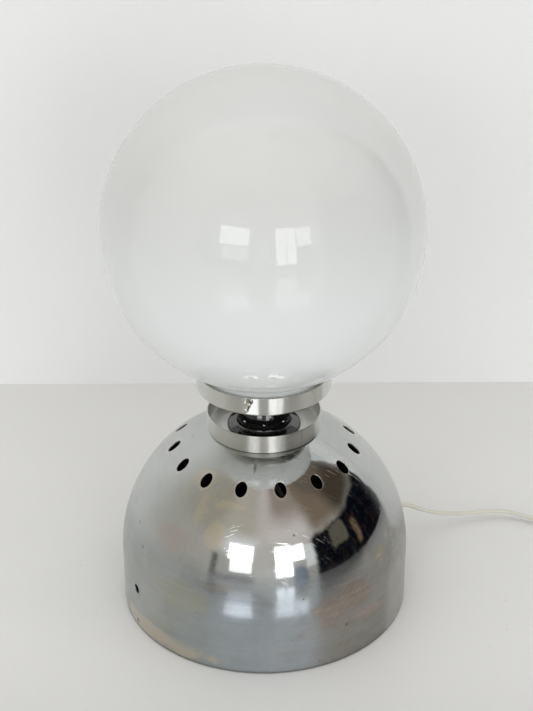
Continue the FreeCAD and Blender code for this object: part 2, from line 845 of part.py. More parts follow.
def make_holder_skirt():
    outer = holder_diameter / 2
    inner = outer - holder_wall
    mouth = holder_mouth_diameter / 2
    bottom = holder_z + holder_cap_height
    top = bottom + holder_skirt_height
    skirt = turned((inner, bottom),
                   (outer, bottom),
                   (outer, top - holder_skirt_edge),
                   (outer - holder_skirt_bevel, top),
                   (mouth, top),
                   (mouth, top - holder_lip_height),
                   (inner, top - holder_lip_height))
    save("holder_skirt", skirt)


def make_holder_insert():
    insert = disc(holder_diameter - 2 * holder_wall - 2 * fit_gap, insert_height, insert_z)
    for x in (-terminal_spread, terminal_spread):
        insert = insert.cut(post(terminal_screw_diameter + 2 * slip, insert_height, x, 0, insert_z))
    save("holder_insert", insert)


def make_terminal_screws():
    screws = []
    for x in (-terminal_spread, terminal_spread):
        head = post(terminal_head_diameter, terminal_head_height, x, 0, terminal_head_z)
        shank = post(terminal_screw_diameter, terminal_screw_depth, x, 0, insert_z)
        screws.append(head.fuse(shank))
    save_all("terminal_screws", screws)


def make_screw_shell():
    shell = ring(shell_outer_diameter, shell_bore, shell_height, shell_z)
    floor = ring(shell_outer_diameter, shell_floor_hole, shell_sheet, shell_z)
    save("screw_shell", shell.fuse(floor))


def make_centre_contact():
    foot = disc(contact_foot_diameter, contact_foot_thickness, shell_z)
    tongue = disc(contact_diameter, contact_height, shell_z)
    save("centre_contact", foot.fuse(tongue))


def make_holder_wires():
    """The cord's two wires, from its end in the tube to the heads of the terminal screws."""
    wires = []
    for side in (-1, 1):
        start = side * wire_spread / 2
        end = side * terminal_spread
        points = [(start, 0, cord_end_z),
                  (start, 0, tube_top + wire_first_turn),
                  (end, 0, tube_top + wire_second_turn),
                  (end, 0, terminal_head_z - fit_gap)]
        wires.append(routed_tube(points, wire_diameter, "holder wire")[0])
    save_all("holder_wires", wires)


# ---- Bulb -----------------------------------------------------------------------------------------

def make_bulb_cap():
    tip_end = bulb_tip_z + bulb_tip_height
    seal_radius = bulb_cap_diameter / 2 - bulb_seal_inset
    seal = Part.makeCone(bulb_seal_diameter / 2, seal_radius, bulb_seal_height, vec(0, 0, tip_end))
    save("bulb_tip", disc(bulb_tip_diameter, bulb_tip_height, bulb_tip_z))
    save("bulb_seal", seal)
    save("bulb_cap", ring(bulb_cap_diameter, bulb_cap_diameter - 2 * bulb_cap_sheet,
                          bulb_cap_height, bulb_cap_z))


def make_bulb_glass():
    """Ball that runs down in a tangent cone to the neck, and a stem held inside the cap."""
    wall = bulb_glass_wall
    neck = bulb_neck_diameter / 2
    stem = bulb_cap_diameter / 2 - bulb_cap_sheet - fit_gap
    glass_z = bulb_cap_z + bulb_cap_height + fit_gap
    edge_z = glass_z + bulb_neck_edge
    side_z = glass_z + bulb_neck_height
    ball = bulb_diameter / 2
    ball_z = glass_z + bulb_glass_height - ball
    outer_turn = tangent_angle(neck, side_z - ball_z, ball)
    inner_turn = tangent_angle(neck - wall, side_z - ball_z, ball - wall)
    glass = turned((0, bulb_stem_z),
                   (stem, bulb_stem_z),
                   (stem, glass_z),
                   (neck, edge_z),
                   (neck, side_z),
                   on_arc(0, ball_z, ball, outer_turn),
                   (on_arc(0, ball_z, ball, outer_turn / 2 + 45), (0, ball_z + ball)),
                   (0, ball_z + ball - wall),
                   (on_arc(0, ball_z, ball - wall, inner_turn / 2 + 45),
                    on_arc(0, ball_z, ball - wall, inner_turn)),
                   (neck - wall, side_z),
                   (stem - wall, edge_z),
                   (stem - wall, bulb_stem_z + wall),
                   (0, bulb_stem_z + wall))
    save("bulb_glass", glass)


def make_bulb_mount():
    foot = Part.makeCone(mount_foot_diameter / 2, mount_diameter / 2, mount_cone_height,
                         vec(0, 0, mount_z))
    save("bulb_mount", foot.fuse(disc(mount_diameter, mount_rod_height, mount_z + mount_cone_height)))


def make_bulb_filament():
    """Two leads that rise from the glass mount and a wire bent in a bow between them."""
    points = [(x, y, mount_top + rise) for x, y, rise in filament_points]
    save("bulb_filament", routed_tube(points, filament_diameter, "bulb filament")[0])


# ---- Cord, switch, coil and plug --------------------------------------------------------------------

def along_cord_azimuth(distance, z):
    direction = outward(cord_azimuth)
    return (direction.x * distance, direction.y * distance, z)


def make_cord_inside():
    """From the grommet down through the clamp, then up in a rising bend into the centre tube."""
    clamp_outer = ballast_middle + clamp_width / 2
    rise_start = ballast_middle - clamp_width / 2 - cord_past_clamp
    rise_height = tube_bottom - clamp_cord_z
    steps = [(cord_exit_radius, wall_hole_height),
             (base_radius - cord_straight_in, wall_hole_height),
             (clamp_outer + cord_bend_1_out, wall_hole_height - cord_bend_1_drop),
             (clamp_outer + cord_bend_2_out, clamp_cord_z + cord_bend_2_rise),
             (clamp_outer + cord_past_clamp, clamp_cord_z),
             (rise_start, clamp_cord_z)]
    steps += [(rise_start * (1 - inward), clamp_cord_z + rise_height * upward)
              for inward, upward in rise_to_tube]
    points = [along_cord_azimuth(distance, z) for distance, z in steps]
    points += [(0, 0, tube_bottom + tube_below_nut / 2), (0, 0, cord_end_z)]
    make_cord_run("cord_inside", points)


def make_cord_run(name, points):
    tube, length = routed_tube(points, cord_diameter, name)
    save(name, tube)
    return length


def coil_edges():
    """Spiral in on the low layer, climb in one half turn, spiral out on the high layer."""
    centre = vec(coil_centre_x, coil_centre_y, 0)
    half_pitch = coil_pitch / 2
    radii = [coil_outer_radius - half_pitch * k for k in range(coil_half_turns + 1)]
    stations = [(radius, coil_low_z) for radius in radii]
    stations += [(radius, coil_high_z) for radius in reversed(radii)]
    start = vec(coil_start_x, coil_straight_y, coil_low_z)
    edges = []
    side = -1
    here = centre + vec(side * stations[0][0], 0, stations[0][1])
    edges.append(Part.LineSegment(start, here).toShape())
    for radius, z in stations[1:]:
        there = centre + vec(-side * radius, 0, z)
        edges += half_turn_biarc(here, vec(0, side, 0), there)
        side = -side
        here = there
    end = here + vec(0, side * cord_diameter, 0)
    edges.append(Part.LineSegment(here, end).toShape())
    return edges, start


def least_self_gap(edges):
    """Least distance between points of the centre line that are more than half a turn apart."""
    step = cord_diameter / 2
    skip = int(2 * coil_pitch / step) + 2
    points = []
    for edge in edges:
        points += edge.discretize(max(2, int(edge.Length / step)))[:-1]
    least = min((points[i] - points[j]).Length
                for i in range(len(points)) for j in range(i + skip, len(points)))
    return least - cord_diameter


def make_cord_coil():
    edges, start = coil_edges()
    length = sum(edge.Length for edge in edges)
    coil = swept(edges, cord_diameter, start, vec(0, -1, 0))
    expected = math.pi * cord_diameter ** 2 / 4 * length
    print("cord coil: length %.1f, least gap to itself %.2f, volume / section x length %.4f"
          % (length, least_self_gap(edges), coil.Volume / expected))
    save("cord_coil", coil)
    return length


def make_coil_tie():
    reach = cord_diameter / 2 + seat_gap
    inner_end = coil_outer_radius - coil_pitch * coil_half_turns / 2 - reach
    outer_end = coil_outer_radius + reach
    height = coil_high_z + reach - tie_thickness
    y = coil_centre_y - (inner_end + outer_end) / 2
    hole = block(tie_width, outer_end - inner_end, height, coil_centre_x, y, tie_thickness)
    band = block(tie_width, outer_end - inner_end + 2 * tie_thickness, height + 2 * tie_thickness,
                 coil_centre_x, y, 0)
    save("coil_tie", band.cut(hole))


def rounded_block(length, width, height, corner, x, y, z):
    body = block(length, width, height, x, y, z)
    upright = [edge for edge in body.Edges if abs(edge.Vertexes[0].Z - edge.Vertexes[1].Z) > slip]
    return body.makeFillet(corner, upright)


def switch_screw_posts(diameter, height, z):
    offset = rocker_length / 2 + switch_screw_beyond
    return [post(diameter, height, switch_centre_x + side * offset,
                 switch_centre_y - side * switch_screw_aside, z) for side in (-1, 1)]


def switch_cord_hole():
    return Part.makeCylinder(cord_diameter / 2 + slip, switch_length,
                             vec(switch_start_x, switch_centre_y, cord_axis_z), vec(1, 0, 0))


def rocker_pin(diameter, reach):
    """Pin across the switch that stands out of both sides of the rocker."""
    start_y = switch_centre_y - rocker_width / 2 - reach
    return Part.makeCylinder(diameter / 2, rocker_width + 2 * reach,
                             vec(switch_centre_x, start_y, rocker_pivot_z), vec(0, 1, 0))


def make_switch_base():
    x = switch_centre_x
    y = switch_centre_y
    wall = switch_wall
    base = rounded_block(switch_length, switch_width, switch_half, switch_corner, x, y, 0)
    base = base.cut(rounded_block(switch_length - 2 * wall, switch_width - 2 * wall,
                                  switch_half - wall, switch_corner - wall, x, y, wall))
    for boss in switch_screw_posts(switch_boss_diameter, switch_half - wall, wall):
        base = base.fuse(boss)
    holes = switch_screw_posts(switch_screw_diameter + 2 * slip, switch_half, 0)
    holes += switch_screw_posts(switch_head_diameter + 2 * fit_gap, switch_head_height + fit_gap, 0)
    holes.append(switch_cord_hole())
    save("switch_base", base.cut(Part.makeCompound(holes)))


def make_switch_cover():
    x = switch_centre_x
    y = switch_centre_y
    cover = rounded_block(switch_length, switch_width, switch_half, switch_corner, x, y, switch_half)
    rim = [edge for edge in cover.Edges if edge.BoundBox.ZMin > switch_height - slip]
    cover = cover.makeFillet(min(switch_rim, 0.45 * switch_half), rim)
    holes = switch_screw_posts(switch_screw_diameter + 2 * slip, switch_hole_depth, switch_half)
    holes.append(block(rocker_length + 2 * rocker_clearance, rocker_width + 2 * rocker_clearance,
                       switch_half, x, y, switch_half))
    holes.append(rocker_pin(rocker_pin_diameter + 2 * running, rocker_pin_length + rocker_clearance))
    holes.append(switch_cord_hole())
    save("switch_cover", cover.cut(Part.makeCompound(holes)))


def make_switch_screws():
    heads = switch_screw_posts(switch_head_diameter, switch_head_height, fit_gap)
    shanks = switch_screw_posts(switch_screw_diameter, switch_half + switch_screw_grip, fit_gap)
    save_all("switch_screws", [head.fuse(shank) for head, shank in zip(heads, shanks)])


def make_rocker():
    """Rocker with its two ends raised, resting tipped to one side on its pin."""
    half = rocker_length / 2
    top = switch_height + rocker_rise
    low = rocker_pivot_z - rocker_pin_diameter / 2 - rocker_below_pin
    low_half = half - rocker_taper - rocker_edge
    side_half = half - rocker_edge
    outline = [(-low_half, low), (low_half, low), (side_half, top - rocker_edge), (low_half, top),
               (0, top - rocker_dish), (-low_half, top), (-side_half, top - rocker_edge),
               (-low_half, low)]
    corners = [vec(switch_centre_x + u, switch_centre_y - rocker_width / 2, w) for u, w in outline]
    body = Part.Face(Part.makePolygon(corners)).extrude(vec(0, rocker_width, 0))
    rocker = body.fuse(rocker_pin(rocker_pin_diameter, rocker_pin_length))
    rocker.rotate(vec(switch_centre_x, switch_centre_y, rocker_pivot_z), vec(0, 1, 0), rocker_tilt)
    save("switch_rocker", rocker)


def make_switch_contacts():
    """Two bent strips, one for each side of the broken wire."""
    contacts = []
    for side in (-1, 1):
        middle = switch_centre_x + side * (strip_gap + strip_length) / 2
        riser_x = switch_centre_x + side * (strip_gap + strip_thickness) / 2
        strip = block(strip_length, strip_width, strip_thickness, middle, switch_centre_y, switch_wall)
        riser = block(strip_thickness, strip_width, strip_riser_height, riser_x, switch_centre_y,
                      switch_wall)
        contacts.append(strip.fuse(riser))
    save_all("switch_contacts", contacts)


def plug_pin_pegs(extra, depth):
    """Round pins along +X that stand out of the plug's nose and are held in its body."""
    nose = plug_neck_length + plug_body_length
    return [Part.makeCylinder(plug_pin_diameter / 2 + extra, depth + plug_pin_length,
                              vec(nose - depth, side * plug_pin_spread / 2, plug_z),
                              vec(1, 0, 0)) for side in (-1, 1)]


def at_plug(shape):
    """Lay a shape made along +X, from the cord's end, along +Y at the plug's place."""
    placed = shape.copy()
    placed.rotate(ORIGIN, UP, 90.0)
    placed.translate(vec(plug_x, plug_start_y, 0))
    return placed


def make_plug():
    """Slim two-pin plug lying flat behind a tapered neck."""
    nose = plug_neck_length + plug_body_length
    neck = Part.makeCone(plug_neck_tip_diameter / 2, plug_neck_root_diameter / 2, plug_neck_length,
                         vec(0, 0, plug_z), vec(1, 0, 0))
    body = rounded_block(plug_body_length, plug_body_width, plug_body_height, plug_corner,
                         nose - plug_body_length / 2, 0, 0)
    rims = [edge for edge in body.Edges if edge.BoundBox.ZLength < slip]
    body = body.makeFillet(plug_rim, rims)
    body = body.fuse(neck).cut(Part.makeCompound(plug_pin_pegs(fit_gap, plug_pin_depth)))
    save("plug_body", at_plug(body))
    pins = plug_pin_pegs(0, plug_pin_depth - fit_gap)
    save_all("plug_pins", [at_plug(pin) for pin in pins])


def make_cord():
    exit_points = [along_cord_azimuth(cord_exit_radius + reach, wall_hole_height)
                   for reach in (0, cord_straight_out)]
    make_cord_inside()
    lengths = [make_cord_run("cord_run_1", exit_points + run_1_points),
               make_cord_run("cord_run_2", run_2_points),
               make_cord_coil(),
               make_cord_run("cord_tail", tail_points)]
    print("cord from the grommet to the plug: %.0f"
          % (sum(lengths) + switch_length - 2 * cord_in_switch))
    make_coil_tie()


# ---- All of it ----------------------------------------------------------------------------------------

def main():
    os.makedirs("parts", exist_ok=True)
    make_felt_ring()
    make_base_plate()
    make_ballast_ring()
    make_plate_screws("ballast_screws", 2 * ballast_middle, ballast_screw_diameter,
                      plate_thickness + ballast_screw_depth)
    make_plate_screws("base_screws", base_screw_circle, base_screw_diameter,
                      plate_thickness + lug_thickness + base_screw_end)
    make_base_lugs()
    make_base_dome()
    make_grommet()
    make_cord_clamp()
    make_clamp_screws()
    make_centre_tube()
    make_nut("lower_nut", lower_nut_z)
    make_washer("lower_washer", lower_nut_z + nut_height)
    make_washer("upper_washer", gallery_floor_top)
    make_nut("upper_nut", upper_nut_z)
    make_lower_cup()
    make_neck()
    make_neck_sleeve()
    make_neck_studs()
    make_gallery()
    make_gallery_bushes()
    make_thumbscrews()
    make_globe()
    make_holder_cap()
    make_holder_skirt()
    make_holder_insert()
    make_terminal_screws()
    make_screw_shell()
    make_centre_contact()
    make_holder_wires()
    make_bulb_cap()
    make_bulb_glass()
    make_bulb_mount()
    make_bulb_filament()
    make_cord()
    make_switch_base()
    make_switch_cover()
    make_switch_screws()
    make_rocker()
    make_switch_contacts()
    make_plug()


main()
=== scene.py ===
import json
import math

import bmesh
import bpy
from bpy.props import FloatProperty, FloatVectorProperty, IntProperty, PointerProperty
from mathutils import Matrix, Vector


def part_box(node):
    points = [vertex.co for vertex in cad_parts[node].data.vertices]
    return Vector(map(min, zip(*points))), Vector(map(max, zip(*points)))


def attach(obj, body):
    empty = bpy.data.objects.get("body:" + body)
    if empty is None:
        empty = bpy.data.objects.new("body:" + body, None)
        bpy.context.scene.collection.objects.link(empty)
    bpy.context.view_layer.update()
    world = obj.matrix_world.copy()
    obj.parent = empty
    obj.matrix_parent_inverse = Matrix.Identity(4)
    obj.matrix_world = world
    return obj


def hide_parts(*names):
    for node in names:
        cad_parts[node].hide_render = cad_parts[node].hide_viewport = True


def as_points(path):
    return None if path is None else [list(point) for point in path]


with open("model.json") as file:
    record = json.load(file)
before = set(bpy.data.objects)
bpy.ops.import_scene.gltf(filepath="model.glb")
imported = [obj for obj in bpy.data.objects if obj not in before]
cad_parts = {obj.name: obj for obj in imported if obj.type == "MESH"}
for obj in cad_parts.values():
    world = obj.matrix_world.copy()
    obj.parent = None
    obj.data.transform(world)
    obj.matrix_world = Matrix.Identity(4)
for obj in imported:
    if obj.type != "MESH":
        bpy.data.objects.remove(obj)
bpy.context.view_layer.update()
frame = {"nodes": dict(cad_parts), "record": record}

bl_info = {
    "name": "Glass Globe Table Lamp",
    "version": (1, 0, 0),
    "blender": (4, 5, 0),
    "location": "View3D > Sidebar > Lamp",
    "description": "Makes the finished pieces of an opal globe lamp on a perforated chrome base",
    "category": "Object",
}

MM = 0.001
UP = Vector((0.0, 0.0, 1.0))


def top(node):
    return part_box(node)[1].z


def bottom(node):
    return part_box(node)[0].z


def half_width(node):
    low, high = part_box(node)
    return (high.x - low.x) / 2


# ---- Sizes read from the frame, or repeated from the part's source, in metres -----------------

BASE_RADIUS = half_width("base_dome")
BASE_WALL = 47.2 * MM
BASE_EDGE = bottom("base_dome")
BASE_SHEET = 1.2 * MM
SEAT_Z = top("base_dome")
SEAT_RADIUS = 44.0 * MM
TUBE_BORE = 5.07 * MM
VENT_COUNT = 15
VENT_LENGTH = 12.9 * MM
VENT_WIDTH = 9.2 * MM
VENT_CIRCLE = 74.1 * MM
VENT_PHASE = math.radians(9.88)
WALL_HOLE_RADIUS = 3.9 * MM
WALL_HOLE_Z = 38.4 * MM
CORD_AZIMUTH = math.radians(119.3)

CUP_RADIUS = half_width("lower_cup")
CUP_Z = bottom("lower_cup")
CUP_TOP = top("lower_cup")
CUP_SHEET = 1.0 * MM
CUP_CORNER = 0.8 * MM
GALLERY_RADIUS = half_width("gallery")
GALLERY_Z = bottom("gallery")
GALLERY_TOP = top("gallery")
GALLERY_CORNER = 2.2 * MM
GALLERY_VENTS = 6
GALLERY_VENT_RADIUS = 4.5 * MM
GALLERY_VENT_CIRCLE = 33.0 * MM
BUSH_RADIUS = 2.25 * MM
THUMBSCREW_PHASE = math.radians(-12.3)
THUMBSCREW_Z = GALLERY_TOP - 3.7 * MM
STUD_COUNT = 8
STUD_RADIUS = 1.2 * MM
STUD_REACH = 21.85 * MM

GLOBE_RADIUS = 125.0 * MM
GLOBE_WALL = 3.0 * MM
GLOBE_NECK = 48.6 * MM
GLOBE_FLARE = 4.0 * MM
GLOBE_BOTTOM = bottom("globe")
GLOBE_CENTRE = top("globe") - GLOBE_RADIUS

GROMMET_FLANGE = 6.0 * MM
GROMMET_LIP = 1.6 * MM
EXIT_RADIUS = BASE_RADIUS + 1.65 * MM

# The cord's route outside the base: points of its spline. The first leaves the grommet along its hole,
# and the run ends in the switch.
OUTWARD = Vector((math.sin(CORD_AZIMUTH), -math.cos(CORD_AZIMUTH), 0.0))
RUN_OUT = [
    (128.5, 70.6, 35.2),
    (137.5, 73.2, 30.2),
    (148.2, 77.0, 24.0),
    (161.2, 83.1, 17.5),
    (175.2, 89.7, 12.3),
    (189.0, 95.2, 9.3),
    (202.7, 99.3, 8.2),
    (215.2, 101.6, 7.4),
    (227.3, 100.8, 6.8),
    (238.7, 96.8, 6.0),
    (251.0, 91.0, 5.2),
    (266.5, 84.8, 5.6),
    (282.0, 80.5, 8.5),
    (301.0, 80.5, 8.5),
    (353.0, 80.5, 8.5),
    (365.0, 80.5, 8.5),
    (376.5, 78.2, 7.4),
    (385.0, 71.2, 5.4),
    (389.5, 60.5, 3.4),
    (391.0, 46.0, 1.9),
    (390.2, 28.5, 1.45),
    (388.2, 9.0, 1.45),
    (388.0, -3.0, 1.45),
]
RUN_TO_PLUG = [
    (462.0, -3.0, 4.3),
    (462.2, 7.0, 4.4),
    (464.2, 18.0, 5.2),
    (468.6, 31.0, 6.6),
    (470.0, 39.0, 6.8),
    (470.0, 46.0, 6.8),
]
RUN_INSIDE = [
    (122.15, 38.4),
    (112.5, 38.4),
    (103.5, 34.2),
    (95.0, 25.4),
    (86.0, 20.25),
    (67.0, 20.25),
    (56.5, 24.4),
    (47.3, 32.8),
    (39.8, 44.0),
    (30.9, 58.9),
    (21.4, 76.0),
    (11.9, 95.0),
    (3.6, 115.9),
    (0.0, 140.0),
    (0.0, 208.0),
]
COIL_CENTRE = Vector((425.0, -15.0, 0.0)) * MM
COIL_OUTER = 37.0
COIL_STEP = 2.75
COIL_HALF_TURNS = 8
POINTS_A_HALF_TURN = 6
SPLINE_SHRINK = 0.9665
COIL_LOW = 1.45
COIL_LAYER = 2.8
PLUG_NECK_START = Vector((470.0, 46.0, 6.8)) * MM
PLUG_NECK_LENGTH = 24.0 * MM
PLUG_NECK_TIP = 2.8 * MM
PLUG_NECK_ROOT = 5.0 * MM
FIRST_RIB = 3.0 * MM
LAST_RIB = 2.5 * MM
RIB_THICKNESS = 0.13  # share of each rib's radius
TIE_INNER = 11.9 * MM
TIE_OUTER = 38.6 * MM
TIE_CORNER = 1.6 * MM
ROLL_FADE_IN = 0.04
ROLL_END_X = 0.285
ROLL_FADE_OUT = 0.03
ROLL_WAVES = 34.0  # radians a metre
INSIDE_FLEX_DIAMETER = 3.9 * MM
LEAD_RADIUS = 0.9 * MM
LEAD_BENDS = [(1.0, 9.5), (3.0, 7.6), (8.0, 6.0), (9.0, 4.0), (9.0, 0.0)]  # aside, below the top


# ---- What a user may change -------------------------------------------------------------------

# Lengths are given in millimetres here, and angles in degrees.
def length_value(name, description, default, low, high):
    return FloatProperty(name=name, description=description, default=default * MM, min=low * MM,
                         max=high * MM, unit="LENGTH", subtype="DISTANCE")


def colour_value(name, description, *default):
    return FloatVectorProperty(name=name, description=description, default=default, size=3,
                               min=0, max=1, subtype="COLOR")


def angle_value(name, description, default, low, high):
    return FloatProperty(name=name, description=description, default=math.radians(default),
                         min=math.radians(low), max=math.radians(high), subtype="ANGLE")


def share_value(name, description, default, high):
    return FloatProperty(name=name, description=description, default=default, min=0.0, max=high,
                         subtype="FACTOR")


class LampSizes(bpy.types.PropertyGroup):
    vent_rounding: length_value("Vent rounding", "Rounding of the punched holes' outer edge",
                                0.4, 0.1, 1.5)
    flex_width: length_value("Flex width", "Width of the flat twin flex", 5.1, 3.0, 7.0)
    flex_thickness: length_value("Flex thickness", "Thickness of the flat twin flex", 2.6, 1.5, 4.0)
    core_diameter: length_value("Core diameter", "Diameter of each stranded core in the flex",
                                1.3, 0.5, 2.0)
    flex_turn: angle_value("Flex turn", "How far the free stretch of flex rolls to either side",
                           12, 0, 80)
    tie_width: length_value("Tie width", "Width of the strap round the coil", 5.0, 2.0, 10.0)
    tie_thickness: length_value("Tie thickness", "Thickness of the strap round the coil", 0.6, 0.3, 1.0)
    rib_count: IntProperty(
        name="Plug ribs", description="Number of ribs on the plug's bend relief",
        default=7, min=2, max=12)


class LampColours(bpy.types.PropertyGroup):
    chrome: colour_value("Worn chrome", "Reflection colour of the base", 0.570, 0.580, 0.570)
    stain: colour_value("Stain", "Colour of the brown bloom in the base's plating", 0.340, 0.300, 0.250)
    bright: colour_value("Bright chrome", "Reflection colour of the two cups", 0.630, 0.632, 0.612)
    opal: colour_value("Opal glass", "Colour of the globe", 0.625, 0.628, 0.616)
    black: colour_value("Black", "Colour of the neck", 0.006, 0.006, 0.007)
    nickel: colour_value("Nickel", "Reflection colour of the thumbscrews", 0.640, 0.625, 0.585)
    sheath: colour_value("Flex sheath", "Colour of the yellowed clear sheath", 0.900, 0.878, 0.770)
    ivory: colour_value("Ivory", "Colour of the switch and the plug", 0.720, 0.690, 0.590)


class LampWear(bpy.types.PropertyGroup):
    haze: share_value("Haze", "How far the base's plating has gone cloudy", 1.0, 1.5)
    stains: share_value("Stains", "How strong the brown bloom is", 1.0, 1.0)
    scratches: share_value("Scratches", "Depth of the fine scratches", 1.0, 2.0)
    seam_azimuth: angle_value("Cup seam", "Where the lower cup's rim was joined, from the front",
                              40, -180, 180)


# ---- Node trees -------------------------------------------------------------------------------

class Value:
    """A number on a node's socket. Arithmetic on it adds Math nodes."""

    def __init__(self, graph, socket):
        self.graph = graph
        self.socket = socket

    def __add__(self, other):
        return self.graph.math("ADD", self, other)

    def __radd__(self, other):
        return self.graph.math("ADD", other, self)

    def __sub__(self, other):
        return self.graph.math("SUBTRACT", self, other)

    def __rsub__(self, other):
        return self.graph.math("SUBTRACT", other, self)

    def __mul__(self, other):
        return self.graph.math("MULTIPLY", self, other)

    def __rmul__(self, other):
        return self.graph.math("MULTIPLY", other, self)


class Graph:
    """A node tree that is written from Python."""

    def __init__(self, tree):
        self.tree = tree

    def node(self, kind, settings=None, values=None):
        """Adds a node: its settings first, then the values or links of its sockets."""
        added = self.tree.nodes.new(kind)
        for name, setting in (settings or {}).items():
            setattr(added, name, setting)
        for name, value in (values or {}).items():
            self.feed(added.inputs[name], value)
        return added

    def feed(self, socket, value):
        if isinstance(value, Value):
            value = value.socket
        if isinstance(value, bpy.types.NodeSocket):
            self.tree.links.new(value, socket)
        else:
            socket.default_value = value

    def math(self, operation, *values):
        added = self.node("ShaderNodeMath", {"operation": operation}, dict(enumerate(values)))
        return Value(self, added.outputs[0])

    def vector(self, operation, *values):
        added = self.node("ShaderNodeVectorMath", {"operation": operation}, dict(enumerate(values)))
        return added.outputs["Vector"]

    def place(self):
        """Where the shaded point is, in the part's frame."""
        return self.node("ShaderNodeTexCoord").outputs["Object"]

    def split(self, vector):
        added = self.node("ShaderNodeSeparateXYZ", None, {0: vector})
        return [Value(self, socket) for socket in added.outputs]

    def join(self, x, y, z):
        return self.node("ShaderNodeCombineXYZ", None, {0: x, 1: y, 2: z}).outputs[0]

    def noise(self, at, scale, detail=3.0, roughness=0.5, distortion=0.0):
        added = self.node("ShaderNodeTexNoise", None,
                          {"Vector": at, "Scale": scale, "Detail": detail,
                           "Roughness": roughness, "Distortion": distortion})
        return Value(self, added.outputs[0])

    def drawn_out(self, at, scales, roughness, distortion=0.0):
        """Noise with its own scale along each axis: long where the scale is small."""
        return self.noise(self.vector("MULTIPLY", at, scales), 1.0, 3.0, roughness, distortion)

    def cells(self, at, scale):
        """Distance to the nearest of scattered points, in cells."""
        added = self.node("ShaderNodeTexVoronoi", None, {"Vector": at, "Scale": scale})
        return Value(self, added.outputs["Distance"])

    def rise(self, value, low, high):
        """0 below low, 1 above high, and smooth between; the other way round if low > high."""
        if low > high:
            return 1.0 - self.rise(value, high, low)
        added = self.node("ShaderNodeMapRange", {"interpolation_type": "SMOOTHSTEP"},
                          {0: value, 1: low, 2: high})
        return Value(self, added.outputs[0])

    def mix(self, factor, first, second, blend="MIX"):
        """A colour between two colours."""
        added = self.node("ShaderNodeMix", {"data_type": "RGBA", "blend_type": blend},
                          {0: factor, 6: opaque(first), 7: opaque(second)})
        return added.outputs[2]

    def bump(self, height, distance, strength=1.0):
        added = self.node("ShaderNodeBump", None,
                          {"Height": height, "Distance": distance, "Strength": strength})
        return added.outputs[0]

    def coat(self, colour, roughness, normal=None, **constants):
        """One shader. What varies is colour, roughness and normal."""
        shader = self.node("ShaderNodeBsdfPrincipled", None,
                           {"Base Color": opaque(colour), "Roughness": roughness})
        for name, value in constants.items():
            shader.inputs[name.replace("_", " ").title().replace("Ior", "IOR")].default_value = value
        if normal is not None:
            self.feed(shader.inputs["Normal"], normal)
        return shader.outputs[0]

    def show(self, shader):
        self.node("ShaderNodeOutputMaterial", None, {"Surface": shader})

    def blend(self, factor, first, second):
        """Part of the surface as one shader, the rest as another."""
        return self.node("ShaderNodeMixShader", None, {0: factor, 1: first, 2: second}).outputs[0]

    def finish(self, colour, roughness, normal=None, **constants):
        self.show(self.coat(colour, roughness, normal, **constants))


def opaque(colour):
    """A colour constant with its alpha; a socket passes through."""
    if isinstance(colour, (bpy.types.NodeSocket, Value)):
        return colour
    return (colour[0], colour[1], colour[2], 1.0)


# ---- Finishes ---------------------------------------------------------------------------------

def around_axis(g, at):
    """Azimuth from the front towards +X, and height."""
    x, y, z = g.split(at)
    return g.math("ARCTAN2", x, 0.0 - y), z


def turned_lines(g, at, rotation, scales, roughness):
    """Noise drawn out along a direction of its own."""
    turned = g.node("ShaderNodeMapping", None, {"Vector": at, "Rotation": rotation, "Scale": scales})
    return g.noise(turned.outputs[0], 1.0, 2.0, roughness)


def scratch_lines(g, at, seed):
    """Thin broken lines along one direction, 0 or 1."""
    rotation = (0.4 * seed, 0.7 * seed, 1.1 * seed)
    return g.rise(turned_lines(g, at, rotation, (60.0, 900.0, 60.0), 0.4), 0.66, 0.72)


def scattered(g, at, scale, edge, patch_scale, patch_edge, detail=2.0):
    """Small round spots that come in patches, 0 or 1."""
    patches = g.noise(at, patch_scale, detail)
    return g.rise(g.cells(at, scale), *edge) * g.rise(patches, *patch_edge)


# Colours that the old plating has taken on, from the shoulder down and round to both sides. The first
# three are partly tarnish, partly painted shade of the mirrored table.
LOW_TARNISH_AND_SHADE = (0.385, 0.432, 0.468)
LEFT_TARNISH_AND_SHADE = (0.400, 0.418, 0.400)
RIGHT_TARNISH_AND_SHADE = (0.350, 0.342, 0.312)
PALE_CLOUD = (0.505, 0.520, 0.530)
BRUSHED = (0.60, 0.62, 0.65)
WIPED = (0.62, 0.58, 0.52)
# Painted highlight of the vents' rounded edges:
RIM_HIGHLIGHT = (0.70, 0.67, 0.60)
RUSTY_FOOT = (0.16, 0.135, 0.11)
CREAM = (0.66, 0.61, 0.50)
BROWN = (0.37, 0.31, 0.25)
PITTED = (0.07, 0.065, 0.06)
TARNISH = (0.16, 0.14, 0.12)
SHOULDER = (0.100, 0.068)
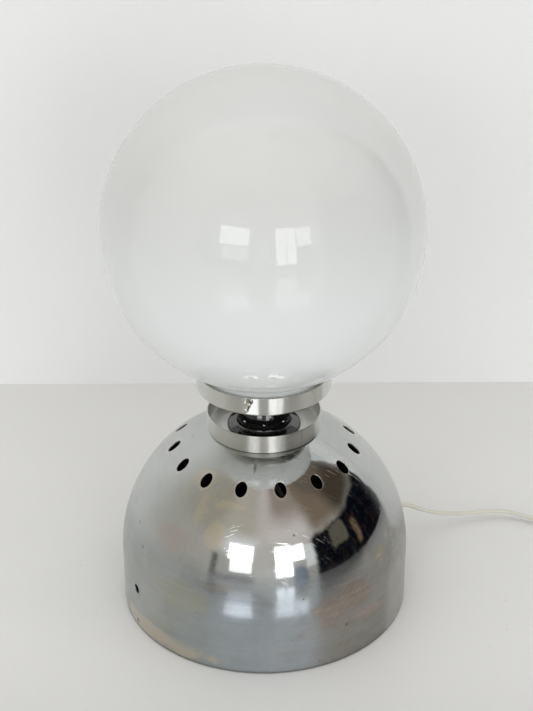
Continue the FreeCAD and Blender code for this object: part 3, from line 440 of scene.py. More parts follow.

# Its stains and pits, and one painted reflection: azimuth in degrees, height up the shell, half width
# and half height in millimetres, colour and strength.
STAINS_AND_PAINTED_REFLECTION = [
    (-40.0, 158.0, 14.0, 9.0, CREAM, 0.60),
    (-17.0, 143.0, 24.0, 5.5, CREAM, 0.75),
    (-33.0, 136.0, 8.0, 16.0, CREAM, 0.60),
    (-24.0, 117.0, 11.0, 9.0, CREAM, 0.70),
    (-40.0, 103.0, 26.0, 13.0, (0.57, 0.50, 0.48), 0.60),
    (-38.0, 62.0, 34.0, 13.0, (0.44, 0.45, 0.38), 0.75),
    (-48.0, 10.0, 52.0, 8.0, (0.60, 0.55, 0.45), 0.85),
    (-33.0, 18.0, 17.0, 6.0, (0.36, 0.43, 0.45), 0.50),
    (-18.0, 78.0, 17.0, 5.0, BROWN, 0.45),
    (37.0, 60.0, 27.0, 14.0, BROWN, 0.80),
    (24.0, 46.0, 13.0, 17.0, BROWN, 0.70),
    (52.0, 80.0, 13.0, 12.0, (0.50, 0.45, 0.36), 0.70),
    (44.0, 36.0, 22.0, 7.0, (0.50, 0.41, 0.37), 0.75),
    (13.0, 34.8, 1.3, 1.2, PITTED, 0.90),
    (32.6, 34.2, 1.5, 1.4, PITTED, 0.85),
    (-61.0, 5.5, 1.4, 1.5, PITTED, 0.90),
    (13.3, 120.1, 1.7, 1.5, PITTED, 0.60),
    # Painted reflection of the nearest thumbscrew: a dark mark near the seat.
    (-7.2, 176.9, 2.6, 2.2, (0.22, 0.22, 0.21), 0.70),
    (-66.0, 96.0, 1.6, 2.4, PITTED, 0.40),
    (-58.0, 82.0, 1.2, 1.2, PITTED, 0.45),
]


def stained(g, plate, azimuth, height, ragged, strength):
    """Lays every stain, and the painted reflection among them, over a plating colour; gives the colour
    and where they are.
    """
    cover = None
    for turn, up, wide, tall, colour, depth in STAINS_AND_PAINTED_REFLECTION:
        aside = (azimuth - math.radians(turn)) * (BASE_RADIUS / (wide * MM))
        above = (height - up * MM) * (1.0 / (tall * MM))
        far = g.math("SQRT", aside * aside + above * above)
        here = g.rise(far + ragged, 1.20, 0.45) * (depth * strength)
        plate = g.mix(here, plate, colour)
        cover = here if cover is None else g.math("MAXIMUM", cover, here)
    return plate, cover


def vent_rim_highlights(g, azimuth, slope):
    """The pale ring round each vent: a painted highlight on its rounded edge."""
    pitch = 2 * math.pi / VENT_COUNT
    turn = g.math("WRAP", azimuth - VENT_PHASE, pitch / 2, -pitch / 2)
    vent_slope = math.pi / 2 - math.asin(VENT_CIRCLE / BASE_RADIUS)
    aside = turn * (VENT_CIRCLE / (VENT_WIDTH / 2))
    along = (slope - vent_slope) * (BASE_RADIUS / (VENT_LENGTH / 2))
    return g.rise(g.math("SQRT", aside * aside + along * along), 1.52, 1.26)


def wiped_streaks(g, azimuth, height, low):
    """Slanting streaks that a cloth has left in the brown at the right."""
    lean = 0.9
    across, up = azimuth * (BASE_RADIUS / MM), height * (1.0 / MM)
    slant = g.join(across + height * (lean / MM), up - azimuth * (lean * BASE_RADIUS / MM), 0.0)
    wiped = g.drawn_out(slant, (0.055, 0.75, 1.0), 0.5, 0.3)
    return g.rise(wiped, 0.56, 0.66) * g.rise(azimuth, 0.20, 0.45) * g.rise(azimuth, 1.45, 1.15) * low


def worn_chrome(g, at):
    """Old chrome plate: clear at the right, clouded at the left, and grey and brushed lower down; the
    grey is partly painted shade of the mirrored table.
    """
    colours = bpy.context.scene.lamp_colours
    wear = bpy.context.scene.lamp_wear
    azimuth, z = around_axis(g, at)
    slope = g.math("ARCSINE", (z - BASE_WALL) * (1.0 / BASE_RADIUS))
    height = slope * BASE_RADIUS + BASE_WALL

    cloud = g.noise(at, 17.0, 6.0, 0.62, 0.8)
    patch = g.noise(at, 46.0, 5.0, 0.62, 0.4)
    grime = g.noise(at, 170.0, 4.0, 0.65)
    brushed = g.drawn_out(at, (16.0, 16.0, 900.0), 0.65)
    ragged = (cloud + patch * 0.9 - 0.95) * 2.4
    low = g.rise(z, *SHOULDER)
    left = g.rise(azimuth, -0.30, -0.85)
    right = g.rise(azimuth, 0.22, 0.62)
    far_right = g.rise(azimuth, 0.95, 1.20)
    seat = g.rise(z, 0.140, 0.156)
    foot = g.rise(z, 3.2 * MM, 1.0 * MM)
    rim = vent_rim_highlights(g, azimuth, slope)
    pits = scattered(g, at, 95.0, (0.085, 0.050), 27.0, (0.56, 0.62))

    # Below the shoulder the plating is painted darker: partly tarnish, partly painted shade of the
    # mirrored table.
    plate = g.mix(low, colours.chrome, LOW_TARNISH_AND_SHADE)
    plate = g.mix(low * left, plate, LEFT_TARNISH_AND_SHADE)
    plate = g.mix(low * right, plate, RIGHT_TARNISH_AND_SHADE)
    plate = g.mix(g.rise(cloud, 0.42, 0.68) * (0.30 + left * 0.25), plate, PALE_CLOUD)
    bloom = g.rise(patch, 0.52, 0.72) * (0.12 + low * 0.20)
    plate = g.mix(bloom * wear.stains, plate, colours.stain)
    plate, stains = stained(g, plate, azimuth, height, ragged, wear.stains)
    level = g.rise(brushed, 0.50, 0.64) * (0.20 + low * 0.50)
    plate = g.mix(level * 0.34, plate, BRUSHED)
    plate = g.mix(wiped_streaks(g, azimuth, height, low) * 0.45 * wear.stains, plate, WIPED)
    plate = g.mix(pits * 0.80, plate, PITTED)
    # Painted highlight: a pale ring round each vent where its rounded edge catches the light.
    plate = g.mix(rim * 0.38, plate, RIM_HIGHLIGHT)
    plate = g.mix(foot * (0.35 + cloud * 0.8), plate, RUSTY_FOOT)

    cloudy = left * (0.55 + cloud * 0.75) + low * (0.16 + patch * 0.40) + seat * 0.45
    cloudy = cloudy + stains * 0.45 + far_right * 0.55 + g.rise(cloud, 0.50, 0.70) * 0.16 + rim * 0.25
    clear = g.rise(azimuth, 0.10, 0.45) * g.rise(azimuth, 1.20, 0.98) * g.rise(z, 0.064, 0.086)
    haze = g.math("MINIMUM", cloudy * (1.0 - clear * 0.90) * wear.haze, 0.92)
    lines = g.math("MAXIMUM", scratch_lines(g, at, 1.0), scratch_lines(g, at, 2.3))
    relief = grime * 0.25 + lines * 0.5 * wear.scratches - pits * 2.0 + cloud * 0.8 + brushed * 0.25
    uneven = g.bump(relief, 0.00004)
    mirror = g.coat(plate, 0.035 + patch * 0.05 + low * 0.05 + lines * 0.08, uneven, metallic=1.0)
    veil = g.coat(plate, 0.30 + grime * 0.14, uneven, metallic=1.0)
    g.show(g.blend(haze, mirror, veil))


def dull_inside(g, at):
    """The unpolished inside of the base: thin plating over bare steel."""
    cloud = g.noise(at, 30.0, 5.0, 0.6)
    rust = g.rise(g.noise(at, 55.0, 6.0, 0.7, 0.8), 0.55, 0.70)
    colour = g.mix(cloud, (0.17, 0.165, 0.16), (0.27, 0.265, 0.26))
    colour = g.mix(rust * 0.6, colour, (0.115, 0.065, 0.035))
    g.finish(colour, 0.38 + cloud * 0.25, g.bump(cloud + rust, 0.00012), metallic=0.85)


def bright_chrome(g, at):
    """The polished gallery: fine wiping marks, tarnish spots and a thin film in places."""
    colours = bpy.context.scene.lamp_colours
    wear = bpy.context.scene.lamp_wear
    cloud = g.noise(at, 38.0, 5.0, 0.6, 0.4)
    level = g.drawn_out(at, (25.0, 25.0, 1400.0), 0.6)
    lines = scratch_lines(g, at, 1.7)
    spots = scattered(g, at, 160.0, (0.10, 0.06), 40.0, (0.54, 0.60))
    colour = g.mix(g.rise(cloud, 0.50, 0.75) * 0.35, colours.bright, (0.50, 0.49, 0.45))
    colour = g.mix(spots * 0.6, colour, TARNISH)
    roughness = 0.060 + cloud * 0.08 + level * 0.03 + lines * 0.06 * wear.scratches
    relief = level * 0.3 + lines * 0.4 - spots * 1.5
    g.finish(colour, roughness, g.bump(relief, 0.00002), metallic=1.0)


def spun_chrome(g, at):
    """The lower cup: turned, so that its fine grooves draw each light out upright, with a join."""
    colours = bpy.context.scene.lamp_colours
    wear = bpy.context.scene.lamp_wear
    azimuth = around_axis(g, at)[0]
    grooves = g.drawn_out(at, (30.0, 30.0, 2200.0), 0.6)
    cloud = g.noise(at, 38.0, 5.0, 0.6, 0.4)
    spots = scattered(g, at, 160.0, (0.10, 0.06), 40.0, (0.54, 0.60))
    seam = g.rise(g.math("ABSOLUTE", azimuth - wear.seam_azimuth), 0.009, 0.004)
    colour = g.mix(g.rise(grooves, 0.40, 0.65) * 0.30, colours.bright, (0.52, 0.51, 0.46))
    colour = g.mix(g.rise(cloud, 0.50, 0.75) * 0.30, colour, (0.47, 0.46, 0.41))
    colour = g.mix(spots * 0.6, colour, TARNISH)
    colour = g.mix(seam * 0.55, colour, (0.30, 0.28, 0.25))
    relief = grooves * 0.5 - spots * 1.5 - seam * 3.0
    g.finish(colour, 0.30 + cloud * 0.04 + seam * 0.1, g.bump(relief, 0.00002), metallic=1.0,
             anisotropic=0.97, anisotropic_rotation=0.25)


def plated(g, at, colour, worn, roughness, scale=90.0):
    """Small plated or bare metal pieces, with their worn places in a second colour."""
    cloud = g.noise(at, scale, 5.0, 0.6, 0.3)
    grain = g.noise(at, scale * 9.0, 3.0, 0.6)
    patches = g.rise(cloud, 0.50, 0.68)
    shade = g.mix(patches * 0.8, colour, worn)
    shade = g.mix(g.rise(grain, 0.58, 0.75) * 0.4, shade, tuple(0.55 * part for part in worn))
    g.finish(shade, roughness + patches * 0.14 + grain * 0.05, g.bump(grain, 0.00003), metallic=1.0)


def moulded(g, at, colour, mottle, roughness, grain_scale=700.0, glaze=0.0, glaze_roughness=0.03):
    """Moulded or glazed pieces: a fine grain, a slow mottle and rubbed places."""
    slow = g.noise(at, 45.0, 4.0, 0.55)
    grain = g.noise(at, grain_scale, 3.0, 0.6)
    rubbed = g.rise(g.noise(at, 80.0, 5.0, 0.65, 0.5), 0.52, 0.70)
    shade = g.mix(g.rise(slow, 0.35, 0.70), colour, mottle)
    g.finish(shade, roughness + grain * 0.06 + rubbed * 0.10, g.bump(grain, 0.00004),
             coat_weight=glaze, coat_roughness=glaze_roughness)


def grey_iron(g, at):
    """The weight in the base: a rough casting under thin grey paint."""
    sand = g.noise(at, 520.0, 5.0, 0.7)
    lumps = g.noise(at, 90.0, 4.0, 0.6)
    rust = g.rise(g.noise(at, 60.0, 7.0, 0.7, 0.8), 0.58, 0.68)
    colour = g.mix(lumps, (0.070, 0.070, 0.074), (0.140, 0.140, 0.145))
    colour = g.mix(rust * 0.8, colour, (0.135, 0.062, 0.030))
    g.finish(colour, 0.62 + sand * 0.25, g.bump(sand * 0.5 + lumps, 0.0004), metallic=0.2)


def dark_felt(g, at):
    """Pressed wool: short fibres lying every way, pilled and dusty."""
    fibres = [turned_lines(g, at, (0.0, 0.0, turn), (350.0, 2600.0, 900.0), 0.5)
              for turn in (0.3, 1.4, 2.5)]
    fibre = g.math("MAXIMUM", g.math("MAXIMUM", fibres[0], fibres[1]), fibres[2])
    pills = g.noise(at, 160.0, 4.0, 0.6)
    dust = g.rise(g.noise(at, 45.0, 4.0, 0.6), 0.50, 0.75)
    colour = g.mix(fibre, (0.028, 0.052, 0.036), (0.085, 0.125, 0.092))
    colour = g.mix(dust * 0.35, colour, (0.20, 0.20, 0.17))
    g.finish(colour, 0.90 + pills * 0.08, g.bump(fibre + pills, 0.00035), sheen_weight=0.35,
             sheen_roughness=0.5)


def nickel_brass(g, at):
    """The thumbscrews: nickel plate worn down to the brass."""
    plated(g, at, bpy.context.scene.lamp_colours.nickel, (0.46, 0.41, 0.31), 0.14)


def black_gloss(g, at):
    """The neck: thick black enamel with fine orange peel, small chips and a film of dust."""
    colours = bpy.context.scene.lamp_colours
    z = g.split(at)[2]
    peel = g.noise(at, 240.0, 2.0, 0.5)
    dust = g.rise(g.noise(at, 120.0, 5.0, 0.7), 0.52, 0.74)
    upward = g.rise(z, CUP_Z + 8 * MM, CUP_Z + 2 * MM)
    specks = g.rise(g.cells(at, 420.0), 0.16, 0.10)
    colour = g.mix(dust * 0.18 + upward * 0.15, colours.black, (0.040, 0.040, 0.038))
    colour = g.mix(specks * 0.3, colour, (0.20, 0.19, 0.17))
    g.finish(colour, 0.05 + dust * 0.08 + specks * 0.2, g.bump(peel, 0.00003), coat_weight=0.8,
             coat_roughness=0.03)


def opal_glass(g, at):
    """Blown white glass: milky, with streaks, seeds and wiped dust, and painted light from below that
    makes it lighter and greener towards the foot.
    """
    colours = bpy.context.scene.lamp_colours
    z = g.split(at)[2]
    milk = g.drawn_out(at, (6.0, 6.0, 14.0), 0.5, 1.2)
    swirl = g.noise(at, 26.0, 4.0, 0.55, 1.5)
    seeds = scattered(g, at, 130.0, (0.040, 0.022), 20.0, (0.58, 0.64))
    # Painted light from below: lighter and greener lower down and at the foot.
    foot = g.rise(z, GLOBE_CENTRE - 0.060, GLOBE_CENTRE - 0.125)
    dust = g.rise(g.noise(at, 210.0, 5.0, 0.7), 0.55, 0.80) * g.rise(z, GLOBE_CENTRE, top("globe"))
    lower = g.rise(z, GLOBE_CENTRE + 0.070, GLOBE_CENTRE - 0.070)
    colour = g.mix(g.rise(milk, 0.30, 0.70) * 0.6, colours.opal, (0.660, 0.662, 0.650))
    colour = g.mix(lower, colour, (0.845, 0.875, 0.878))
    colour = g.mix(foot, colour, (0.910, 0.950, 0.945))
    colour = g.mix(dust * 0.12, colour, (0.52, 0.50, 0.46))
    colour = g.mix(seeds * 0.5, colour, (0.38, 0.39, 0.38))
    roughness = 0.030 + swirl * 0.020 + dust * 0.10
    g.finish(colour, roughness, g.bump(swirl * 0.4 + milk, 0.00008), subsurface_weight=0.4,
             subsurface_radius=(1.0, 1.0, 1.0), subsurface_scale=0.0025, ior=1.50)


def bulb_glass(g, at):
    """The bulb: thin clear glass with faint drawn streaks."""
    streaks = g.drawn_out(at, (60.0, 60.0, 8.0), 0.5)
    colour = g.mix(streaks, (0.955, 0.965, 0.960), (0.975, 0.980, 0.978))
    g.finish(colour, 0.012 + streaks * 0.02, g.bump(streaks, 0.00003), transmission_weight=1.0,
             ior=1.50)


def clear_pvc(g, at):
    """The flex's soft clear sheath, gone yellow, with its extrusion lines and finger marks."""
    colours = bpy.context.scene.lamp_colours
    tint = g.noise(at, 35.0, 4.0, 0.6)
    marks = g.noise(at, 420.0, 4.0, 0.6)
    colour = g.mix(tint, colours.sheath, tuple(0.88 * part for part in colours.sheath))
    g.finish(colour, 0.16 + marks * 0.16, g.bump(marks, 0.00005), transmission_weight=0.30, ior=1.48)


def stranded_core(g, at):
    """Tinned strands twisted together, seen through the sheath."""
    strands = g.noise(at, 1500.0, 2.0, 0.5)
    age = g.noise(at, 60.0, 3.0, 0.5)
    colour = g.mix(strands, (0.70, 0.66, 0.58), (0.86, 0.83, 0.76))
    colour = g.mix(g.rise(age, 0.5, 0.7) * 0.4, colour, (0.66, 0.56, 0.42))
    g.finish(colour, 0.42 + strands * 0.2, g.bump(strands, 0.0001), metallic=0.35)


def ivory_plastic(g, at):
    """The switch and the plug: pressed ivory plastic, darker where it is handled."""
    colours = bpy.context.scene.lamp_colours
    slow = g.noise(at, 50.0, 4.0, 0.6)
    grain = g.noise(at, 900.0, 3.0, 0.6)
    handled = g.rise(g.noise(at, 110.0, 6.0, 0.7, 0.6), 0.50, 0.72)
    flecks = g.rise(g.cells(at, 700.0), 0.12, 0.07)
    colour = g.mix(g.rise(slow, 0.3, 0.7), colours.ivory, (0.66, 0.62, 0.51))
    colour = g.mix(handled * 0.30, colour, (0.46, 0.40, 0.30))
    colour = g.mix(flecks * 0.35, colour, (0.38, 0.34, 0.27))
    g.finish(colour, 0.24 + grain * 0.08 + handled * 0.12, g.bump(grain, 0.00004), coat_weight=0.2,
             coat_roughness=0.1)


def table_top(g, at):
    """A pale waxed table: matt to the camera, and glossy where another piece mirrors it, with a painted
    shadow that darkens it towards the front, more where it is mirrored.
    """
    cloud = g.noise(at, 9.0, 4.0, 0.5)
    specks = scattered(g, at, 88.0, (0.085, 0.045), 14.0, (0.52, 0.60), 4.0)
    y = g.split(at)[1]
    mirrored = g.node("ShaderNodeLightPath").outputs["Is Glossy Ray"]
    # Painted shadow: darker towards the front, and darker still where the metal mirrors it.
    shade = g.rise(y, -0.06, -0.26) * 0.17 + g.rise(y, -0.12, -0.40) * 0.32 * Value(g, mirrored)
    colour = g.mix(cloud, (0.670, 0.662, 0.650), (0.710, 0.702, 0.690))
    colour = g.mix(specks * 0.55, colour, (0.42, 0.39, 0.35))
    colour = g.mix(shade, colour, (0.0, 0.0, 0.0))
    smooth = g.bump(cloud, 0.00003)
    matt = g.coat(colour, 0.45 + cloud * 0.08, smooth, ior=1.45)
    waxed = g.coat(colour, 0.11 + cloud * 0.04, smooth, ior=3.4)
    g.show(g.blend(mirrored, matt, waxed))


def back_wall(g, at):
    """Pale painted wall, clear from behind so that it never hides the lamp."""
    roll = g.noise(at, 60.0, 4.0, 0.6)
    cloud = g.noise(at, 5.0, 3.0, 0.5)
    colour = g.mix(cloud, (0.850, 0.854, 0.851), (0.880, 0.884, 0.880))
    paint = g.coat(colour, 0.85, g.bump(roll, 0.0003))
    clear = g.node("ShaderNodeBsdfTransparent").outputs[0]
    behind = g.node("ShaderNodeNewGeometry").outputs["Backfacing"]
    g.show(g.blend(behind, paint, clear))


# Colour, worn colour, roughness and, where it is not the common one, the size of the worn places.
PLATED = {
    "stud_nickel": ((0.80, 0.79, 0.76), (0.62, 0.58, 0.50), 0.08),
    "zinc_steel": ((0.55, 0.56, 0.57), (0.42, 0.41, 0.38), 0.28),
    "brass": ((0.66, 0.47, 0.20), (0.40, 0.26, 0.11), 0.22),
    "bulb_cap_metal": ((0.66, 0.66, 0.65), (0.50, 0.49, 0.46), 0.26),
    "tungsten": ((0.24, 0.23, 0.22), (0.14, 0.135, 0.13), 0.45, 300.0),
}
# Colour, mottle, roughness and, where they are not the common ones, the grain and the glaze.
MOULDED = {
    "black_rubber": ((0.014, 0.014, 0.015), (0.034, 0.033, 0.031), 0.52),
    "nylon": ((0.62, 0.60, 0.53), (0.52, 0.49, 0.41), 0.42),
    "bakelite": ((0.020, 0.014, 0.010), (0.045, 0.026, 0.016), 0.20, 260.0, 0.3, 0.08),
    "porcelain": ((0.80, 0.79, 0.74), (0.72, 0.71, 0.65), 0.12, 160.0, 0.5, 0.05),
    "bulb_seal": ((0.016, 0.016, 0.020), (0.034, 0.034, 0.042), 0.08),
    "wire_insulation": ((0.60, 0.55, 0.40), (0.46, 0.41, 0.28), 0.28),
    "tie_plastic": ((0.030, 0.030, 0.032), (0.060, 0.059, 0.058), 0.40),
    "rocker_plastic": ((0.016, 0.015, 0.015), (0.034, 0.032, 0.030), 0.16, 700.0, 0.3, 0.06),
}
OWN_FINISHES = {maker.__name__: maker for maker in (
    worn_chrome, dull_inside, bright_chrome, spun_chrome, nickel_brass, grey_iron, dark_felt,
    black_gloss, opal_glass, bulb_glass, clear_pvc, stranded_core, ivory_plastic, table_top,
    back_wall)}


def finish(slot):
    """The finish of a slot, made once; a plain one that the frame brought is written anew."""
    material = bpy.data.materials.get(slot) or bpy.data.materials.new(slot)
    if "written_here" in material:
        return material
    material["written_here"] = True
    material.use_nodes = True
    material.node_tree.nodes.clear()
    g = Graph(material.node_tree)
    at = g.place()
    if slot in PLATED:
        plated(g, at, *PLATED[slot])
    elif slot in MOULDED:
        moulded(g, at, *MOULDED[slot])
    else:
        OWN_FINISHES[slot](g, at)
    return material


def slot_of(node):
    for part in frame["record"]["subparts"]:
        if part["node"] == node:
            return part["material_slot"]
    raise RuntimeError("no finish slot for " + node)


# ---- Mesh helpers -----------------------------------------------------------------------------

def arc(centre_r, centre_z, radius, start, end, steps):
    """Points (r, z) on a circle from one angle to another; 0 is away from the axis, 90 is up."""
    angles = [math.radians(start + (end - start) * k / steps) for k in range(steps + 1)]
    return [(centre_r + radius * math.cos(a), centre_z + radius * math.sin(a)) for a in angles]


def arc_through(first, middle, last, steps):
    """Points on the circle through three points (r, z)."""
    a, b, c = (Vector((*point, 0.0)) for point in (first, middle, last))
    ab, ac = b - a, c - a
    normal = ab.cross(ac)
    centre = a + (normal.cross(ab) * ac.length_squared + ac.cross(normal) * ab.length_squared) \
        / (2 * normal.length_squared)
    start = math.atan2(a.y - centre.y, a.x - centre.x)
    end = math.atan2(c.y - centre.y, c.x - centre.x)
    sense = 1 if normal.z > 0 else -1
    sweep_angle = sense * ((sense * (end - start)) % (2 * math.pi))
    radius = (a - centre).length
    angles = [start + sweep_angle * k / steps for k in range(steps + 1)]
    return [(centre.x + radius * math.cos(t), centre.y + radius * math.sin(t)) for t in angles]


def bowed(first, last, bow, steps):
    """Points on an arc that bows to the right of its chord."""
    chord = Vector((last[0] - first[0], last[1] - first[1])).normalized()
    middle = ((first[0] + last[0]) / 2 + chord.y * bow, (first[1] + last[1]) / 2 - chord.x * bow)
    return arc_through(first, middle, last, steps)


def straight(first, last, steps):
    return [(first[0] + (last[0] - first[0]) * k / steps, first[1] + (last[1] - first[1]) * k / steps)
            for k in range(steps + 1)]


def new_piece(name, verts, faces, material=None):
    mesh = bpy.data.meshes.new(name)
    mesh.from_pydata([tuple(v) for v in verts], [], faces)
    piece = bpy.data.objects.new(name, mesh)
    bpy.context.scene.collection.objects.link(piece)
    if material:
        mesh.materials.append(material)
    return piece


def quads_between_rows(rows, count, closed):
    """Faces between neighbouring rows of points; closed joins the last row to the first."""
    faces = []
    for row in range(rows if closed else rows - 1):
        after = (row + 1) % rows
        for k in range(count):
            n = (k + 1) % count
            faces.append((row * count + k, row * count + n, after * count + n, after * count + k))
    return faces


def turn_outline(name, outline, segments, material=None):
    """A piece of revolution. Its outline goes round with the material on the left."""
    points = [point for k, point in enumerate(outline)
              if math.dist(point, outline[k - 1]) > 1e-7]
    verts = []
    rings = []
    for r, z in points:
        if r < 1e-7:
            rings.append([len(verts)] * segments)
            verts.append((0.0, 0.0, z))
            continue
        rings.append(list(range(len(verts), len(verts) + segments)))
        for k in range(segments):
            a = 2 * math.pi * k / segments
            verts.append((r * math.cos(a), r * math.sin(a), z))
    faces = []
    for k, ring in enumerate(rings):
        beyond = rings[(k + 1) % len(rings)]
        for i in range(segments):
            j = (i + 1) % segments
            corners = list(dict.fromkeys((ring[i], ring[j], beyond[j], beyond[i])))
            if len(corners) > 2:
                faces.append(corners)
    return new_piece(name, verts, faces, material)


def smooth_shading(piece, sharp=35.0):
    piece.data.shade_smooth()
    piece.data.set_sharp_from_angle(angle=math.radians(sharp))


def true_normals(mesh, rule, blend=0.7):
    """Corner normals from rule(point, face normal), or where it gives none, from like faces."""
    mesh.shade_smooth()
    corners = [None] * len(mesh.loops)
    shared = {}
    for face in mesh.polygons:
        known = rule(face.center, face.normal)
        for loop in face.loop_indices:
            index = mesh.loops[loop].vertex_index
            if known is None:
                shared.setdefault(index, []).append(face.normal * face.area)
            else:
                corners[loop] = rule(mesh.vertices[index].co, face.normal) or known
    for face in mesh.polygons:
        for loop in face.loop_indices:
            if corners[loop] is None:
                total = Vector()
                for other in shared[mesh.loops[loop].vertex_index]:
                    if other.normalized().dot(face.normal) > blend:
                        total += other
                corners[loop] = total.normalized() if total.length > 0 else face.normal.copy()
    mesh.normals_split_custom_set([tuple(normal) for normal in corners])


def face_outwards(piece):
    """Turns every face of a closed piece so that it looks outwards."""
    work = bmesh.new()
    work.from_mesh(piece.data)
    bmesh.ops.recalc_face_normals(work, faces=work.faces)
    work.to_mesh(piece.data)
    work.free()


def cut_tool(name, outline, height, reach=0.0, tilt=0.0, segments=48, narrow=1.0):
    """A drill turned from its outline, narrowed, tilted from upright to the front, then moved."""
    tool = turn_outline(name, outline, segments)
    tool.data.transform(Matrix.Translation((0.0, -reach, height)) @ Matrix.Rotation(tilt, 4, "X")
                        @ Matrix.Diagonal((narrow, 1.0, 1.0, 1.0)))
    return tool


def put(piece, body, slot, *nodes):
    """The piece rides on its body and stands for its CAD nodes; its slot is not used."""
    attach(piece, body)
    if nodes:
        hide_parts(*nodes)


def smooth_copy(node, body="lamp"):
    """A CAD node's own shape on its body, with its triangles merged and smoothly shaded."""
    name = node + "_smooth"
    mesh = bpy.data.meshes.new(name)
    work = bmesh.new()
    work.from_mesh(frame["nodes"][node].data)
    bmesh.ops.remove_doubles(work, verts=work.verts, dist=2e-6)
    work.to_mesh(mesh)
    work.free()
    piece = bpy.data.objects.new(name, mesh)
    bpy.context.scene.collection.objects.link(piece)
    mesh.materials.clear()
    mesh.materials.append(finish(slot_of(node)))
    smooth_shading(piece, 30.0)
    put(piece, body, slot_of(node), node)
    return piece


def keep_node(node):
    """A CAD node that stays as it is, with its finish."""
    mesh = frame["nodes"][node].data
    if not mesh.materials:
        mesh.materials.append(None)
    for k in range(len(mesh.materials)):
        frame["nodes"][node].material_slots[k].material = finish(slot_of(node))


# ---- Geometry Nodes ---------------------------------------------------------------------------

def new_tree(name, inputs):
    """A Geometry Nodes tree with named inputs; gives the tree, its graph and its input node."""
    tree = bpy.data.node_groups.new(name, "GeometryNodeTree")
    for label, kind in inputs:
        tree.interface.new_socket(label, in_out="INPUT", socket_type=kind)
    tree.interface.new_socket("Geometry", in_out="OUTPUT", socket_type="NodeSocketGeometry")
    graph = Graph(tree)
    return tree, graph, graph.node("NodeGroupInput")


def close_tree(graph, geometry, material):
    whole = graph.node("GeometryNodeRealizeInstances", None, {0: geometry})
    coated = graph.node("GeometryNodeSetMaterial", None,
                        {"Geometry": whole.outputs[0], "Material": material})
    graph.node("NodeGroupOutput", None, {0: coated.outputs[0]})


def copies_round_axis(graph, source):
    """Count copies of an object, each turned about the vertical axis."""
    line = graph.node("GeometryNodeMeshLine", None,
                      {"Count": source.outputs["Count"], "Offset": (0.0, 0.0, 0.0)})
    index = Value(graph, graph.node("GeometryNodeInputIndex").outputs[0])
    step = graph.math("DIVIDE", 2 * math.pi, source.outputs["Count"])
    turn = graph.math("ADD", index * step, source.outputs["First Turn"])
    piece = graph.node("GeometryNodeObjectInfo", None, {"Object": source.outputs["Piece"]})
    spin = graph.node("FunctionNodeEulerToRotation", None, {0: graph.join(0.0, 0.0, turn)})
    placed = graph.node("GeometryNodeInstanceOnPoints", None,
                        {"Points": line.outputs[0], "Instance": piece.outputs["Geometry"],
                         "Rotation": spin.outputs[0]})
    return placed.outputs[0]


RING_INPUTS = [("Geometry", "NodeSocketGeometry"), ("Piece", "NodeSocketObject"),
               ("Count", "NodeSocketInt"), ("First Turn", "NodeSocketFloat"),
               ("Material", "NodeSocketMaterial")]


def ring_of_holes():
    """Cuts a ring of like holes out of a shell."""
    tree, graph, source = new_tree("ring_of_holes", RING_INPUTS)
    drills = graph.node("GeometryNodeRealizeInstances", None, {0: copies_round_axis(graph, source)})
    cut = graph.node("GeometryNodeMeshBoolean", {"operation": "DIFFERENCE", "solver": "EXACT"},
                     {"Mesh 1": source.outputs["Geometry"], "Mesh 2": drills.outputs[0]})
    close_tree(graph, cut.outputs[0], source.outputs["Material"])
    return tree


def ring_of_pieces():
    """Repeats a small piece round the axis."""
    tree, graph, source = new_tree("ring_of_pieces", RING_INPUTS)
    close_tree(graph, copies_round_axis(graph, source), source.outputs["Material"])
    return tree


def tapered_ribs():
    """Rings along a straight line whose radius changes from its start to its end."""
    inputs = [("Geometry", "NodeSocketGeometry"), ("Count", "NodeSocketInt"),
              ("Start", "NodeSocketVector"), ("End", "NodeSocketVector"),
              ("Start Radius", "NodeSocketFloat"), ("End Radius", "NodeSocketFloat"),
              ("Thickness", "NodeSocketFloat"), ("Material", "NodeSocketMaterial")]
    tree, graph, source = new_tree("tapered_ribs", inputs)
    line = graph.node("GeometryNodeMeshLine", {"mode": "END_POINTS"},
                      {"Count": source.outputs["Count"], "Start Location": source.outputs["Start"],
                       "Offset": source.outputs["End"]})
    index = Value(graph, graph.node("GeometryNodeInputIndex").outputs[0])
    last = graph.math("SUBTRACT", source.outputs["Count"], 1.0)
    share = graph.math("DIVIDE", index, last)
    grown = graph.math("SUBTRACT", source.outputs["End Radius"], source.outputs["Start Radius"])
    radius = graph.math("ADD", share * grown, source.outputs["Start Radius"])
    loop = graph.node("GeometryNodeCurvePrimitiveCircle", None, {"Resolution": 40, "Radius": 1.0})
    section = graph.node("GeometryNodeCurvePrimitiveCircle", None,
                         {"Resolution": 12, "Radius": source.outputs["Thickness"]})
    rib = graph.node("GeometryNodeCurveToMesh", None,
                     {"Curve": loop.outputs[0], "Profile Curve": section.outputs[0]})
    tipped = graph.node("FunctionNodeEulerToRotation", None, {0: (math.pi / 2, 0.0, 0.0)})
    placed = graph.node("GeometryNodeInstanceOnPoints", None,
                        {"Points": line.outputs[0], "Instance": rib.outputs[0],
                         "Rotation": tipped.outputs[0], "Scale": graph.join(radius, radius, radius)})
    close_tree(graph, placed.outputs[0], source.outputs["Material"])
    return tree


def tree_named(name, maker):
    return bpy.data.node_groups.get(name) or maker()


